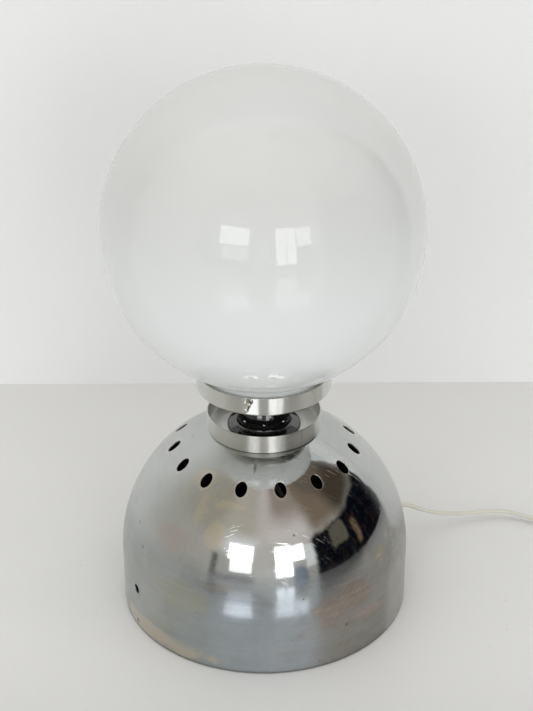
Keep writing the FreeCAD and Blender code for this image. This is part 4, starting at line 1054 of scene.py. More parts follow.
def apply_tree(target, tree, **inputs):
    """Runs a tree on a piece and keeps the result as its plain mesh."""
    modifier = target.modifiers.new(tree.name, "NODES")
    modifier.node_group = tree
    for item in tree.interface.items_tree:
        key = item.name.lower().replace(" ", "_")
        if item.in_out == "INPUT" and key in inputs:
            modifier[item.identifier] = inputs[key]
    bpy.context.view_layer.update()
    graph = bpy.context.evaluated_depsgraph_get()
    mesh = bpy.data.meshes.new_from_object(target.evaluated_get(graph))
    target.modifiers.remove(modifier)
    target.data = mesh
    return target


def delete(*objects):
    for item in objects:
        bpy.data.objects.remove(item)


# ---- Stage ------------------------------------------------------------------------------------

CAMERA_PLACE = Vector((0.0, -0.998, 0.7295))
CAMERA_PITCH = 0.470
CAMERA_YAW = 0.0022
CAMERA_ROLL = -0.0035
CAMERA_LENS = 70.94
WALL_LINE = 0.371
WALL_LEFT = -0.80
WALL_RIGHT = 0.79
WALL_TOP = 0.90
FLOOR_REACH = 4.0
LIGHT_DISTANCE = 3.0
LIGHT_AIM = Vector((0.0, 0.0, 0.2))
WINDOW_LEVEL = 4.0
# Panes of the soft window lights: azimuths, elevations and share of the level.
PANES = [
    (-29.0, -10.0, 13.5, 25.0, 1.0),
    (-27.0, -10.0, 4.0, 13.0, 0.35),
    (8.5, 15.0, 1.0, 24.5, 1.0),
    (15.6, 21.5, 1.0, 24.5, 1.0),
    (22.6, 32.0, 12.0, 23.5, 0.85),
]
# What the chrome mirrors of a plain room: azimuths, elevations, softness in degrees, and colour.
ROOM = [
    (-125.0, -40.0, 27.0, 100.0, 8.0, (0.43, 0.40, 0.32)),
    (-44.0, 2.0, 27.0, 100.0, 12.0, (0.58, 0.54, 0.47)),
    (-36.0, -4.0, 20.0, 33.0, 7.0, (0.98, 0.99, 1.00)),
    (-4.0, 46.0, 24.0, 100.0, 13.0, (0.80, 0.74, 0.71)),
    (6.0, 60.0, 46.0, 100.0, 12.0, (0.38, 0.32, 0.27)),
    (46.0, 82.0, 30.0, 100.0, 8.0, (0.25, 0.19, 0.14)),
    (76.0, 119.0, 27.0, 100.0, 8.0, (0.075, 0.060, 0.042)),
    (62.0, 119.0, 52.0, 100.0, 8.0, (0.17, 0.14, 0.11)),
    (-11.0, 8.0, 0.0, 27.0, 5.0, (0.66, 0.64, 0.60)),
    (-42.0, -8.0, -6.0, 3.0, 2.5, (0.27, 0.26, 0.27)),
    (-43.0, -37.5, 0.0, 16.0, 2.0, (0.16, 0.16, 0.15)),
    (22.5, 34.0, -4.0, 9.0, 2.0, (0.17, 0.21, 0.27)),
    (33.5, 42.0, 8.0, 24.0, 1.2, (0.88, 0.92, 0.90)),
]
FURNITURE = (41.5, 121.0, -6.0, 28.0, 2.2)
SHELVES = ((0.003, 0.004, 0.007), (0.026, 0.014, 0.011), (0.010, 0.022, 0.030))
SMALL_THINGS = (0.30, 0.29, 0.27)
IN_FRONT_OF_THE_SHELVES = [
    (58.5, 74.5, 12.0, 26.0, 1.2, (0.14, 0.13, 0.10)),
    (81.5, 86.0, 3.0, 20.0, 1.5, (0.20, 0.14, 0.09)),
]
REST_OF_ROOM = (0.50, 0.49, 0.45)
SIDE_WALLS = [(118.1, 119.7, (0.68, 0.71, 0.73)), (-95.0, -115.0, (0.68, 0.70, 0.69))]
SOFT_LIGHT = ((0.62, 0.62, 0.61), (1.30, 1.30, 1.28))
PLAIN_BACKGROUND = (0.80, 0.80, 0.79)


def make_camera():
    across = Vector((math.cos(CAMERA_YAW), -math.sin(CAMERA_YAW), 0.0))
    ahead = Vector((math.sin(CAMERA_YAW), math.cos(CAMERA_YAW), 0.0))
    forward = ahead * math.cos(CAMERA_PITCH) - UP * math.sin(CAMERA_PITCH)
    upward = ahead * math.sin(CAMERA_PITCH) + UP * math.cos(CAMERA_PITCH)
    right = across * math.cos(CAMERA_ROLL) + upward * math.sin(CAMERA_ROLL)
    upright = upward * math.cos(CAMERA_ROLL) - across * math.sin(CAMERA_ROLL)
    lens = bpy.data.cameras.new("camera")
    lens.lens = CAMERA_LENS
    lens.clip_end = 50.0
    camera = bpy.data.objects.new("camera", lens)
    turn = Matrix((right, upright, -forward)).transposed().to_4x4()
    camera.matrix_world = Matrix.Translation(CAMERA_PLACE) @ turn
    bpy.context.scene.collection.objects.link(camera)
    bpy.context.scene.camera = camera


def towards(azimuth, elevation):
    a, e = math.radians(azimuth), math.radians(elevation)
    return Vector((math.sin(a) * math.cos(e), -math.cos(a) * math.cos(e), math.sin(e)))


def make_pane(number, west, east, low, high, share):
    direction = towards((west + east) / 2, (low + high) / 2)
    light = bpy.data.lights.new("window_%d" % number, "AREA")
    light.shape = "RECTANGLE"
    light.size = 2 * LIGHT_DISTANCE * math.tan(math.radians(east - west) / 2)
    light.size_y = 2 * LIGHT_DISTANCE * math.tan(math.radians(high - low) / 2)
    light.energy = WINDOW_LEVEL * share * math.pi * light.size * light.size_y
    light.color = (0.96, 0.985, 1.0)
    lamp = bpy.data.objects.new(light.name, light)
    lamp.location = LIGHT_AIM + direction * LIGHT_DISTANCE
    lamp.rotation_euler = direction.to_track_quat("Z", "Y").to_euler()
    lamp.visible_camera = False
    bpy.context.scene.collection.objects.link(lamp)


def patch_of_room(g, azimuth, elevation, west, east, low, high, soft):
    """1 in a patch of directions and 0 outside it, with a soft edge."""
    return (g.rise(azimuth, west - soft, west + soft) * g.rise(azimuth, east + soft, east - soft)
            * g.rise(elevation, low - soft, low + soft) * g.rise(elevation, high + soft, high - soft))


def unruled(g, azimuth, elevation, layer):
    """A few degrees either way, so that no edge in the room is ruled straight."""
    return (g.noise(g.join(azimuth * 0.10, elevation * 0.10, layer), 1.0, 4.0, 0.62) - 0.5) * 7.0


def make_room():
    """A room for reflections, an even soft light from above, and a plain pale backdrop."""
    world = bpy.data.worlds.new("room")
    bpy.context.scene.world = world
    world.use_nodes = True
    world.node_tree.nodes.clear()
    g = Graph(world.node_tree)
    x, y, z = g.split(g.node("ShaderNodeTexCoord").outputs["Generated"])
    azimuth = g.math("ARCTAN2", x, 0.0 - y) * math.degrees(1)
    elevation = g.math("ARCSINE", z) * math.degrees(1)

    azimuth = azimuth + unruled(g, azimuth, elevation, 1.0)
    elevation = elevation + unruled(g, azimuth, elevation, 5.0)

    room = REST_OF_ROOM
    for *patch, colour in ROOM:
        room = g.mix(patch_of_room(g, azimuth, elevation, *patch), room, colour)
    upright = g.noise(g.join(azimuth * 0.35, elevation * 0.10, 0.0), 1.0, 3.0, 0.6)
    across = g.noise(g.join(azimuth * 0.10, elevation * 0.45, 7.0), 1.0, 3.0, 0.6)
    small = g.noise(g.join(azimuth * 0.9, elevation * 0.9, 3.0), 1.0, 2.0, 0.5)
    things = g.mix(g.rise(upright, 0.54, 0.62), SHELVES[0], SHELVES[1])
    things = g.mix(g.rise(across, 0.58, 0.66), things, SHELVES[2])
    things = g.mix(g.rise(small, 0.66, 0.72) * g.rise(azimuth, 74.0, 60.0), things, SMALL_THINGS)
    room = g.mix(patch_of_room(g, azimuth, elevation, *FURNITURE), room, things)
    for *patch, colour in IN_FRONT_OF_THE_SHELVES:
        room = g.mix(patch_of_room(g, azimuth, elevation, *patch), room, colour)
    for start, end, colour in SIDE_WALLS:
        room = g.mix(g.rise(azimuth, start, end), room, colour)

    path = g.node("ShaderNodeLightPath")
    soft_light = g.mix(g.math("MAXIMUM", z, 0.0), *SOFT_LIGHT)
    left_side = 1.0 - x * 0.06
    soft_light = g.mix(1.0, soft_light, g.join(left_side, left_side, left_side), "MULTIPLY")
    lit = g.mix(path.outputs["Is Diffuse Ray"], room, soft_light)
    shown = g.mix(path.outputs["Is Camera Ray"], lit, PLAIN_BACKGROUND)
    background = g.node("ShaderNodeBackground", None, {"Color": shown, "Strength": 1.0})
    g.node("ShaderNodeOutputWorld", None, {"Surface": background.outputs[0]})


def make_backdrop():
    reach = FLOOR_REACH
    floor = new_piece("table", [(-reach, -reach, 0), (reach, -reach, 0), (reach, reach, 0),
                                (-reach, reach, 0)], [(0, 1, 2, 3)], finish("table_top"))
    wall = new_piece("wall", [(WALL_LEFT, WALL_LINE, 0), (WALL_RIGHT, WALL_LINE, 0),
                              (WALL_RIGHT, WALL_LINE, WALL_TOP), (WALL_LEFT, WALL_LINE, WALL_TOP)],
                     [(0, 1, 2, 3)], finish("back_wall"))


# ---- Cord -------------------------------------------------------------------------------------

def spline_points(name, points, resolution):
    """Points read from one smooth NURBS spline that has the route's points as its own."""
    curve = bpy.data.curves.new(name, "CURVE")
    curve.dimensions = "3D"
    spline = curve.splines.new("NURBS")
    spline.points.add(len(points) - 1)
    for target, point in zip(spline.points, points):
        target.co = (*point, 1.0)
    spline.order_u = 3
    spline.use_endpoint_u = True
    spline.resolution_u = resolution
    route = bpy.data.objects.new(name, curve)
    bpy.context.scene.collection.objects.link(route)
    bpy.context.view_layer.update()
    mesh = bpy.data.meshes.new_from_object(route.evaluated_get(bpy.context.evaluated_depsgraph_get()))
    found = [vertex.co.copy() for vertex in mesh.vertices]
    bpy.data.meshes.remove(mesh)
    delete(route)
    return found


def along_line(points):
    """How far along the line each point is."""
    far = [0.0]
    for before, after in zip(points, points[1:]):
        far.append(far[-1] + (after - before).length)
    return far


def frames_along(points, level):
    """(sideways, upwards) at each point: level with the table, or turning as little as it can."""
    frames = []
    side = None
    for k in range(len(points)):
        ahead = (points[min(k + 1, len(points) - 1)] - points[max(k - 1, 0)]).normalized()
        if level or side is None:
            side = UP.cross(ahead)
        side = (side - ahead * side.dot(ahead)).normalized()
        frames.append((side, ahead.cross(side)))
    return frames


def carry_section(name, points, frames, section, turns, material):
    """A closed tube with the section's (across, up) points at every point of the line."""
    verts = []
    for point, (side, upward), turn in zip(points, frames, turns):
        across = side * math.cos(turn) + upward * math.sin(turn)
        rising = upward * math.cos(turn) - side * math.sin(turn)
        verts += [point + across * u + rising * v for u, v in section]
    count = len(section)
    faces = [tuple(range(count))[::-1]] + quads_between_rows(len(points), count, False)
    faces.append(tuple(range((len(points) - 1) * count, len(points) * count)))
    piece = new_piece(name, verts, faces, material)
    smooth_shading(piece, 50.0)
    return piece


def twin_section(width, thickness, steps=11):
    """Outline of flat twin flex: two round lobes with a groove along the middle."""
    lobe = thickness / 2
    aside = width / 2 - lobe
    groove = math.degrees(math.asin(0.45))
    right = arc(aside, 0.0, lobe, -180 + groove, 180 - groove, steps)
    return right + [(-x, -y) for x, y in right]


def round_section(aside, radius, count=8):
    return [(aside + radius * math.cos(2 * math.pi * k / count),
             radius * math.sin(2 * math.pi * k / count)) for k in range(count)]


def coil_points():
    """The coil: in on the low layer, up one layer at the middle, and out again above it."""
    tie = bpy.context.scene.lamp_sizes.tie_thickness / MM
    points = []
    half_turns = 2 * COIL_HALF_TURNS + 1
    for k in range(half_turns * POINTS_A_HALF_TURN + 1):
        gone = k / POINTS_A_HALF_TURN
        inward = min(gone, COIL_HALF_TURNS)
        outward = max(gone - COIL_HALF_TURNS - 1, 0.0)
        climbed = min(max(gone - COIL_HALF_TURNS, 0.0), 1.0)
        radius = (COIL_OUTER - COIL_STEP * (inward - outward)) / SPLINE_SHRINK
        angle = math.pi * (1 + gone)
        at_tie = math.exp(-((math.remainder(angle - 1.5 * math.pi, 2 * math.pi) / 0.45) ** 2))
        z = COIL_LOW + COIL_LAYER * climbed + tie * at_tie
        spot = Vector((radius * math.cos(angle), radius * math.sin(angle), z))
        points.append(COIL_CENTRE + spot * MM)
    return points


def flex_turns(points):
    """How far the flex is rolled over at each point: it wanders only where it lies free."""
    limit = bpy.context.scene.lamp_sizes.flex_turn
    turns = []
    for point, far in zip(points, along_line(points)):
        free = min(1.0, far / ROLL_FADE_IN)
        free *= min(1.0, max(0.0, (ROLL_END_X - point.x) / ROLL_FADE_OUT))
        turns.append(limit * free * math.sin(far * ROLL_WAVES))
    return turns


def make_flex():
    sizes = bpy.context.scene.lamp_sizes
    start = OUTWARD * (BASE_RADIUS - 1.0 * MM) + UP * WALL_HOLE_Z
    straight_out = OUTWARD * (EXIT_RADIUS + 9.0 * MM) + UP * (WALL_HOLE_Z - 0.4 * MM)
    route = [start, straight_out] + [Vector(point) * MM for point in RUN_OUT]
    route += coil_points() + [Vector(point) * MM for point in RUN_TO_PLUG]
    points = spline_points("flex_route", route, 6)
    frames = frames_along(points, True)
    turns = flex_turns(points)
    flex = carry_section("flex", points, frames, twin_section(sizes.flex_width, sizes.flex_thickness),
                         turns, finish("clear_pvc"))
    put(flex, "lamp", "clear_pvc", "cord_run_1", "cord_run_2", "cord_coil", "cord_tail")
    core_finish = finish("stranded_core")
    aside = (sizes.flex_width - sizes.flex_thickness) / 2
    cores = []
    for name, offset in (("flex_core_1", -aside), ("flex_core_2", aside)):
        core = carry_section(name, points, frames, round_section(offset, sizes.core_diameter / 2),
                             turns, core_finish)
        put(core, "lamp", "clear_pvc")
        cores.append(core)
    return flex, points, cores


def make_inside_flex():
    """The same flex inside the base, from the grommet through its clamp and up the centre tube."""
    route = [OUTWARD * (reach * MM) + UP * (z * MM) for reach, z in RUN_INSIDE]
    points = spline_points("inside_route", route, 8)
    frames = frames_along(points, False)
    section = round_section(0.0, INSIDE_FLEX_DIAMETER / 2, 16)
    flex = carry_section("flex_inside", points, frames, section, [0.0] * len(points),
                         finish("clear_pvc"))
    put(flex, "lamp", "clear_pvc", "cord_inside")
    return flex, points


def make_tie():
    """A flat strap drawn snug round the coil's turns."""
    sizes = bpy.context.scene.lamp_sizes
    thick = sizes.tie_thickness
    inner = COIL_CENTRE.y - TIE_INNER
    outer = COIL_CENTRE.y - TIE_OUTER
    high = (COIL_LOW + COIL_LAYER + 1.5) * MM + thick
    corner = TIE_CORNER
    outline = []
    for y, z, start in ((inner - corner, high - corner, 0), (outer + corner, high - corner, 90),
                        (outer + corner, corner, 180), (inner - corner, corner, 270)):
        outline += [(y, z, math.radians(start + 90 * k / 6)) for k in range(7)]
    verts = []
    for y, z, a in outline:
        for reach, x in ((corner - thick, -1), (corner, -1), (corner, 1), (corner - thick, 1)):
            verts.append((COIL_CENTRE.x + x * sizes.tie_width / 2,
                          y + reach * math.cos(a), z + reach * math.sin(a)))
    faces = quads_between_rows(len(outline), 4, True)
    tie = new_piece("coil_strap", verts, faces, finish("tie_plastic"))
    face_outwards(tie)
    smooth_shading(tie, 40.0)
    put(tie, "lamp", "tie_plastic", "coil_tie")
    return tie


def make_plug_ribs():
    sizes = bpy.context.scene.lamp_sizes
    ribs = new_piece("plug_ribs", [], [])
    first = PLUG_NECK_START + Vector((0.0, FIRST_RIB, 0.0))
    last = PLUG_NECK_START + Vector((0.0, PLUG_NECK_LENGTH - LAST_RIB, 0.0))
    grown = PLUG_NECK_ROOT - PLUG_NECK_TIP
    apply_tree(ribs, tree_named("tapered_ribs", tapered_ribs), count=sizes.rib_count,
               start=tuple(first), end=tuple(last),
               start_radius=PLUG_NECK_TIP + grown * FIRST_RIB / PLUG_NECK_LENGTH,
               end_radius=PLUG_NECK_TIP + grown * (1 - LAST_RIB / PLUG_NECK_LENGTH),
               thickness=RIB_THICKNESS, material=finish("ivory_plastic"))
    smooth_shading(ribs, 60.0)
    put(ribs, "lamp", "ivory_plastic")
    return ribs


def make_switch_and_plug():
    nodes = ("switch_base", "switch_cover", "plug_body", "plug_pins", "switch_screws")
    pieces = [smooth_copy(node) for node in nodes] + [smooth_copy("switch_rocker", "rocker")]
    keep_node("switch_contacts")
    return pieces


# ---- Base -------------------------------------------------------------------------------------

def dome_outline():
    rim = 0.4 * MM
    inner = BASE_RADIUS - BASE_SHEET
    seat_angle = math.degrees(math.acos(SEAT_RADIUS / BASE_RADIUS))
    inner_top = SEAT_Z - BASE_SHEET
    inner_angle = math.degrees(math.asin((inner_top - BASE_WALL) / inner))
    return (arc(BASE_RADIUS - rim, BASE_EDGE + rim, rim, -90, 0, 4)
            + straight((BASE_RADIUS, BASE_EDGE + rim), (BASE_RADIUS, BASE_WALL), 6)
            + arc(0.0, BASE_WALL, BASE_RADIUS, 0, seat_angle, 56)
            + [(TUBE_BORE, SEAT_Z), (TUBE_BORE, inner_top)]
            + arc(0.0, BASE_WALL, inner, inner_angle, 0, 30)
            + straight((inner, BASE_WALL), (inner, BASE_EDGE + rim), 3)
            + arc(inner + rim, BASE_EDGE + rim, rim, 180, 270, 4))


def dome_normal(point, face_normal):
    """The shell's own normal on its polished and its inner face, and none on edges and rims."""
    centre = Vector((0.0, 0.0, min(max(point.z, 0.0), BASE_WALL)))
    ray = point - centre
    for radius, sense in ((BASE_RADIUS, 1.0), (BASE_RADIUS - BASE_SHEET, -1.0)):
        if abs(ray.length - radius) < 0.12 * MM:
            normal = ray.normalized() * sense
            if normal.dot(face_normal) > 0.985:
                return normal
    return None


def make_dome():
    rounding = bpy.context.scene.lamp_sizes.vent_rounding
    dome = turn_outline("base_shell", dome_outline(), 192)
    half = VENT_LENGTH / 2
    edge = math.sqrt(BASE_RADIUS ** 2 - (half + rounding) ** 2)
    flare = arc(half + rounding, edge - rounding, rounding, 180, 96, 8)
    drill_outline = ([(0.0, BASE_RADIUS - 4 * MM), (half, BASE_RADIUS - 4 * MM)] + flare
                     + [(half + rounding, edge + 0.02 * MM),
                        (half + rounding, BASE_RADIUS + 3 * MM), (0.0, BASE_RADIUS + 3 * MM)])
    tilt = math.asin(VENT_CIRCLE / BASE_RADIUS)
    drill = cut_tool("vent_drill", drill_outline, BASE_WALL, tilt=tilt, segments=56,
                     narrow=VENT_WIDTH / VENT_LENGTH)
    wall_outline = [(0.0, BASE_RADIUS - 4 * MM), (WALL_HOLE_RADIUS, BASE_RADIUS - 4 * MM),
                    (WALL_HOLE_RADIUS, BASE_RADIUS - 0.25 * MM),
                    (WALL_HOLE_RADIUS + 1.3 * MM, BASE_RADIUS + 1.05 * MM),
                    (WALL_HOLE_RADIUS + 1.3 * MM, BASE_RADIUS + 3 * MM), (0.0, BASE_RADIUS + 3 * MM)]
    wall_drill = cut_tool("wall_drill", wall_outline, WALL_HOLE_Z, tilt=math.pi / 2, segments=40)
    holes = tree_named("ring_of_holes", ring_of_holes)
    apply_tree(dome, holes, piece=drill, count=VENT_COUNT, first_turn=VENT_PHASE,
               material=finish("worn_chrome"))
    apply_tree(dome, holes, piece=wall_drill, count=2, first_turn=CORD_AZIMUTH,
               material=finish("worn_chrome"))
    delete(drill, wall_drill)
    mesh = dome.data
    mesh.materials.clear()
    mesh.materials.append(finish("worn_chrome"))
    mesh.materials.append(finish("dull_inside"))
    for face in mesh.polygons:
        centre = Vector((0.0, 0.0, min(face.center.z, BASE_WALL)))
        inside = (face.center - centre).length < BASE_RADIUS - 0.75 * BASE_SHEET
        face.material_index = 1 if inside and face.center.z < SEAT_Z - 0.5 * BASE_SHEET else 0
    true_normals(mesh, dome_normal)
    put(dome, "lamp", "worn_chrome", "base_dome")
    return dome


def make_grommet():
    """A soft grommet with a slot for the flat flex, domed flanges and a groove for the sheet."""
    sizes = bpy.context.scene.lamp_sizes
    count = 48
    wide = sizes.flex_width / 2 + 0.15 * MM
    thin = sizes.flex_thickness / 2 + 0.15 * MM
    outer = BASE_RADIUS + 0.05 * MM
    inner = math.sqrt((BASE_RADIUS - BASE_SHEET) ** 2 - GROMMET_FLANGE ** 2) - 0.05 * MM
    body = WALL_HOLE_RADIUS - 0.05 * MM
    lip = GROMMET_LIP
    # (share of the way from the slot to the circle, circle radius, distance from the axis)
    loops = [
        (0.00, body, outer + 0.5 * lip), (0.10, GROMMET_FLANGE, outer + 0.86 * lip),
        (0.30, GROMMET_FLANGE, outer + lip), (0.62, GROMMET_FLANGE, outer + 0.92 * lip),
        (0.88, GROMMET_FLANGE, outer + 0.62 * lip), (1.00, GROMMET_FLANGE, outer + 0.25 * lip),
        (0.96, GROMMET_FLANGE, outer), (1.00, body, outer), (1.00, body, inner),
        (0.96, GROMMET_FLANGE, inner), (1.00, GROMMET_FLANGE, inner - 0.3 * lip),
        (0.70, GROMMET_FLANGE, inner - 0.9 * lip), (0.30, GROMMET_FLANGE, inner - lip),
        (0.00, body, inner - 0.8 * lip),
    ]
    verts = []
    for share, circle, depth in loops:
        for k in range(count):
            a = 2 * math.pi * k / count
            c, s = math.cos(a), math.sin(a)
            slot = 1.0 / ((abs(c) / wide) ** 4 + (abs(s) / thin) ** 4) ** 0.25
            radius = slot + (circle - slot) * share
            verts.append((depth, radius * c, radius * s))
    faces = quads_between_rows(len(loops), count, True)
    grommet = new_piece("flex_grommet", verts, faces, finish("black_rubber"))
    face_outwards(grommet)
    grommet.data.transform(Matrix.Translation((0.0, 0.0, WALL_HOLE_Z))
                           @ Matrix.Rotation(CORD_AZIMUTH - math.pi / 2, 4, "Z"))
    smooth_shading(grommet, 50.0)
    put(grommet, "lamp", "black_rubber", "cord_grommet")


# ---- Cups, neck and thumbscrews ---------------------------------------------------------------

def cup_outline(radius, sheet, corner, low, high):
    """Shallow cup: flat floor, rounded bottom corner, upright wall and rounded lip."""
    lip = sheet / 2
    inner = corner - lip
    return ([(TUBE_BORE, low)]
            + straight((TUBE_BORE, low), (radius - corner, low), 6)
            + arc(radius - corner, low + corner, corner, -90, 0, 12)
            + straight((radius, low + corner), (radius, high - lip), 4)
            + arc(radius - lip, high - lip, lip, 0, 180, 10)
            + straight((radius - sheet, high - lip), (radius - sheet, low + sheet + inner), 4)
            + arc(radius - sheet - inner, low + sheet + inner, inner, 0, -90, 8)
            + straight((radius - sheet - inner, low + sheet), (TUBE_BORE, low + sheet), 6))


def wall_rule(radius, sheet):
    """Normals of a cup's upright walls."""
    def rule(point, face_normal):
        ray = Vector((point.x, point.y, 0.0))
        for reach, sense in ((radius, 1.0), (radius - sheet, -1.0)):
            if abs(ray.length - reach) < 0.06 * MM:
                normal = ray.normalized() * sense
                if normal.dot(face_normal) > 0.98:
                    return normal
        return None
    return rule


def make_lower_cup():
    outline = cup_outline(CUP_RADIUS, CUP_SHEET, CUP_CORNER, CUP_Z, CUP_TOP)
    cup = turn_outline("lower_cup_spun", outline, 192, finish("spun_chrome"))
    smooth_shading(cup, 40.0)
    put(cup, "lamp", "bright_chrome", "lower_cup")


def make_gallery():
    outline = cup_outline(GALLERY_RADIUS, CUP_SHEET, GALLERY_CORNER, GALLERY_Z, GALLERY_TOP)
    gallery = turn_outline("gallery_spun", outline, 192)
    vent = cut_tool("gallery_vent", [(0.0, -3 * MM), (GALLERY_VENT_RADIUS, -3 * MM),
                                     (GALLERY_VENT_RADIUS, 3 * MM), (0.0, 3 * MM)],
                    GALLERY_Z, reach=GALLERY_VENT_CIRCLE)
    start, end = GALLERY_RADIUS - 4 * MM, GALLERY_RADIUS + 4 * MM
    bush = cut_tool("bush_drill", [(0.0, start), (BUSH_RADIUS, start), (BUSH_RADIUS, end), (0.0, end)],
                    THUMBSCREW_Z, tilt=math.pi / 2, segments=32)
    holes = tree_named("ring_of_holes", ring_of_holes)
    apply_tree(gallery, holes, piece=vent, count=GALLERY_VENTS, first_turn=THUMBSCREW_PHASE,
               material=finish("bright_chrome"))
    apply_tree(gallery, holes, piece=bush, count=3, first_turn=THUMBSCREW_PHASE,
               material=finish("bright_chrome"))
    delete(vent, bush)
    true_normals(gallery.data, wall_rule(GALLERY_RADIUS, CUP_SHEET))
    put(gallery, "lamp", "bright_chrome", "gallery")


def make_neck():
    """The black turned neck: a flat foot, a cove, a bulge, a waist and a flared top."""
    z = bottom("neck")
    high = top("neck")
    bore = 17.3 * MM
    edge = 1.0 * MM

    def at(diameter, height):
        return (diameter * MM / 2, z + height * MM)

    outline = ([(bore, z), (30.0 * MM, z)]
               + arc(30.0 * MM - edge, z + edge, edge, 0, 90, 6)
               + straight((30.0 * MM - edge, z + 2 * edge), at(48.0, 2.6), 2)
               + bowed(at(48.0, 2.6), at(41.6, 4.7), -0.65 * MM, 8)
               + arc_through(at(41.6, 4.7), at(43.6, 10.3), at(40.8, 16.6), 16)
               + arc_through(at(40.8, 16.6), at(38.0, 20.8), at(39.2, 26.1), 12)
               + bowed(at(39.2, 26.1), (24.0 * MM, high - edge), -0.9 * MM, 12)
               + [(24.0 * MM, high), (bore, high)])
    neck = turn_outline("neck_turned", outline, 128, finish("black_gloss"))
    smooth_shading(neck, 25.0)
    put(neck, "lamp", "black_gloss", "neck")

    stud = cut_tool("stud", [(0.0, 0.0), (STUD_RADIUS, 0.0)]
                    + arc(0.0, 0.0, STUD_RADIUS, 4, 90, 6), z + 10.3 * MM, tilt=math.pi / 2,
                    segments=16)
    stud.data.transform(Matrix.Translation((0.0, -STUD_REACH, 0.0)))
    ring = new_piece("neck_stud_heads", [], [])
    apply_tree(ring, tree_named("ring_of_pieces", ring_of_pieces), piece=stud, count=STUD_COUNT,
               first_turn=math.pi / 2, material=finish("stud_nickel"))
    delete(stud)
    smooth_shading(ring, 40.0)
    put(ring, "lamp", "nickel_brass", "neck_studs")


def make_thumbscrews():
    for node in ("thumbscrew_1", "thumbscrew_2", "thumbscrew_3"):
        smooth_copy(node, node)
    smooth_copy("gallery_bushes")


# ---- Globe, holder and bulb -------------------------------------------------------------------

def make_globe():
    flare_r = GLOBE_NECK + GLOBE_FLARE
    flare_z = GLOBE_CENTRE - math.sqrt((GLOBE_RADIUS + GLOBE_FLARE) ** 2 - flare_r ** 2)
    start = math.degrees(math.atan2(flare_z - GLOBE_CENTRE, flare_r))
    inner = GLOBE_RADIUS - GLOBE_WALL
    neck_inner = GLOBE_NECK - GLOBE_WALL
    edge = 0.9 * MM
    outline = ([(neck_inner + edge, GLOBE_BOTTOM)]
               + arc(GLOBE_NECK - edge, GLOBE_BOTTOM + edge, edge, -90, 0, 5)
               + straight((GLOBE_NECK, GLOBE_BOTTOM + edge), (GLOBE_NECK, flare_z), 4)
               + arc(flare_r, flare_z, GLOBE_FLARE, 180, 180 + start, 8)
               + arc(0.0, GLOBE_CENTRE, GLOBE_RADIUS, start, 90, 150)
               + arc(0.0, GLOBE_CENTRE, inner, 90, start, 56)
               + arc(flare_r, flare_z, GLOBE_FLARE + GLOBE_WALL, 180 + start, 180, 6)
               + straight((neck_inner, flare_z), (neck_inner, GLOBE_BOTTOM + edge), 3)
               + arc(neck_inner + edge, GLOBE_BOTTOM + edge, edge, 180, 270, 5))
    globe = turn_outline("opal_globe", outline, 256, finish("opal_glass"))
    smooth_shading(globe, 40.0)
    put(globe, "globe", "opal_glass", "globe")


def make_leads():
    """The two wires from the flex's end to the holder's terminals."""
    high = top("holder_wires")
    for number, side in ((1, -MM), (2, MM)):
        route = [Vector((side * LEAD_BENDS[0][0], 0.0, bottom("holder_wires")))]
        route += [Vector((side * aside, 0.0, high - down * MM)) for aside, down in LEAD_BENDS]
        points = spline_points("lead_route", route, 6)
        lead = carry_section("holder_lead_%d" % number, points, frames_along(points, False),
                             round_section(0.0, LEAD_RADIUS, 12), [0.0] * len(points),
                             finish("wire_insulation"))
        put(lead, "lamp", "wire_insulation", *(["holder_wires"] if number == 1 else []))


def make_holder_and_bulb():
    for node in ("holder_cap", "holder_skirt", "holder_insert", "screw_shell", "centre_tube"):
        smooth_copy(node)
    for node in ("bulb_glass", "bulb_cap", "bulb_mount", "bulb_filament", "bulb_seal", "bulb_tip"):
        smooth_copy(node, "bulb")
    make_leads()


# ---- Operators --------------------------------------------------------------------------------

class LAMP_OT_stage(bpy.types.Operator):
    """Camera, soft window lights, plain room, table top and wall"""
    bl_idname = "lamp.stage"
    bl_label = "Stage"

    def execute(self, context):
        make_camera()
        for number, pane in enumerate(PANES, 1):
            make_pane(number, *pane)
        make_room()
        make_backdrop()
        return {"FINISHED"}


class LAMP_OT_cord(bpy.types.Operator):
    """Flat twin flex with its switch, tied coil and plug, and its run inside the base"""
    bl_idname = "lamp.cord"
    bl_label = "Cord"

    def execute(self, context):
        flex, points, cores = make_flex()
        inside, inside_points = make_inside_flex()
        pieces = make_switch_and_plug() + [make_tie(), make_plug_ribs()]
        pieces += cores + ["switch_contacts"]
        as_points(points)
        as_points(inside_points)
        return {"FINISHED"}


class LAMP_OT_base(bpy.types.Operator):
    """Perforated chrome shell and its grommet"""
    bl_idname = "lamp.base"
    bl_label = "Base"

    def execute(self, context):
        make_dome()
        make_grommet()
        return {"FINISHED"}


class LAMP_OT_stand(bpy.types.Operator):
    """Lower cup, black neck with its studs, gallery and thumbscrews"""
    bl_idname = "lamp.stand"
    bl_label = "Stand"

    def execute(self, context):
        make_lower_cup()
        make_neck()
        make_gallery()
        make_thumbscrews()
        return {"FINISHED"}


class LAMP_OT_globe(bpy.types.Operator):
    """Opal glass globe with its neck"""
    bl_idname = "lamp.globe"
    bl_label = "Globe"

    def execute(self, context):
        make_globe()
        return {"FINISHED"}


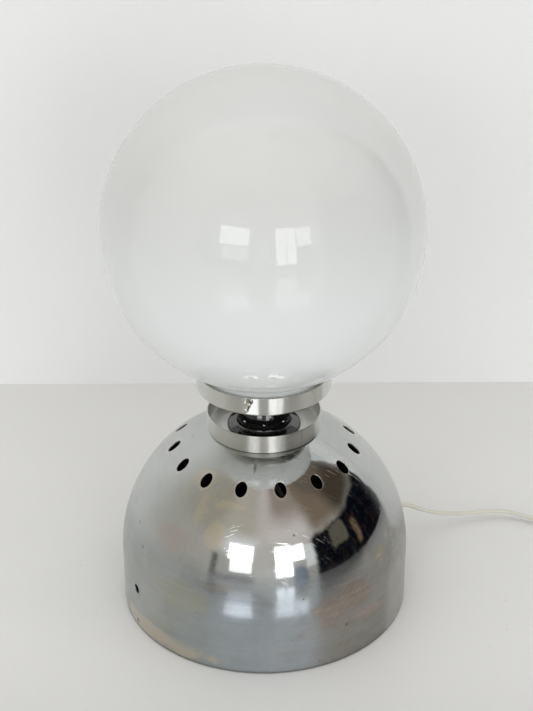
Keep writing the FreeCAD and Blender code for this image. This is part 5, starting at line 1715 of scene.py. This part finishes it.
class LAMP_OT_bulb(bpy.types.Operator):
    """Lampholder, its leads and the bulb"""
    bl_idname = "lamp.bulb"
    bl_label = "Holder and bulb"

    def execute(self, context):
        make_holder_and_bulb()
        return {"FINISHED"}


class LAMP_OT_fittings(bpy.types.Operator):
    """Finishes of the fittings that keep their own shape"""
    bl_idname = "lamp.fittings"
    bl_label = "Fittings"

    def execute(self, context):
        for name, node in frame["nodes"].items():
            if not node.hide_render:
                keep_node(name)
        return {"FINISHED"}


class LAMP_PT_panel(bpy.types.Panel):
    """Sizes, colours, wear and the steps that make the lamp"""
    bl_idname = "LAMP_PT_panel"
    bl_label = "Globe Lamp"
    bl_space_type = "VIEW_3D"
    bl_region_type = "UI"
    bl_category = "Lamp"

    def draw(self, context):
        layout = self.layout
        for group in (context.scene.lamp_sizes, context.scene.lamp_colours, context.scene.lamp_wear):
            box = layout.box()
            for name in group.__annotations__:
                box.prop(group, name)
        for step in STEPS:
            layout.operator(step.bl_idname)


STEPS = (LAMP_OT_stage, LAMP_OT_cord, LAMP_OT_base, LAMP_OT_stand, LAMP_OT_globe, LAMP_OT_bulb,
         LAMP_OT_fittings)
CLASSES = (LampSizes, LampColours, LampWear) + STEPS + (LAMP_PT_panel,)


def register():
    for item in CLASSES:
        bpy.utils.register_class(item)
    bpy.types.Scene.lamp_sizes = PointerProperty(type=LampSizes)
    bpy.types.Scene.lamp_colours = PointerProperty(type=LampColours)
    bpy.types.Scene.lamp_wear = PointerProperty(type=LampWear)


def unregister():
    del bpy.types.Scene.lamp_sizes
    del bpy.types.Scene.lamp_colours
    del bpy.types.Scene.lamp_wear
    for item in reversed(CLASSES):
        bpy.utils.unregister_class(item)


def main():
    register()
    bpy.context.scene.view_settings.view_transform = "Standard"
    bpy.ops.lamp.stage()
    bpy.ops.lamp.cord()
    bpy.ops.lamp.base()
    bpy.ops.lamp.stand()
    bpy.ops.lamp.globe()
    bpy.ops.lamp.bulb()
    bpy.ops.lamp.fittings()


if __name__ == "__main__":
    main()
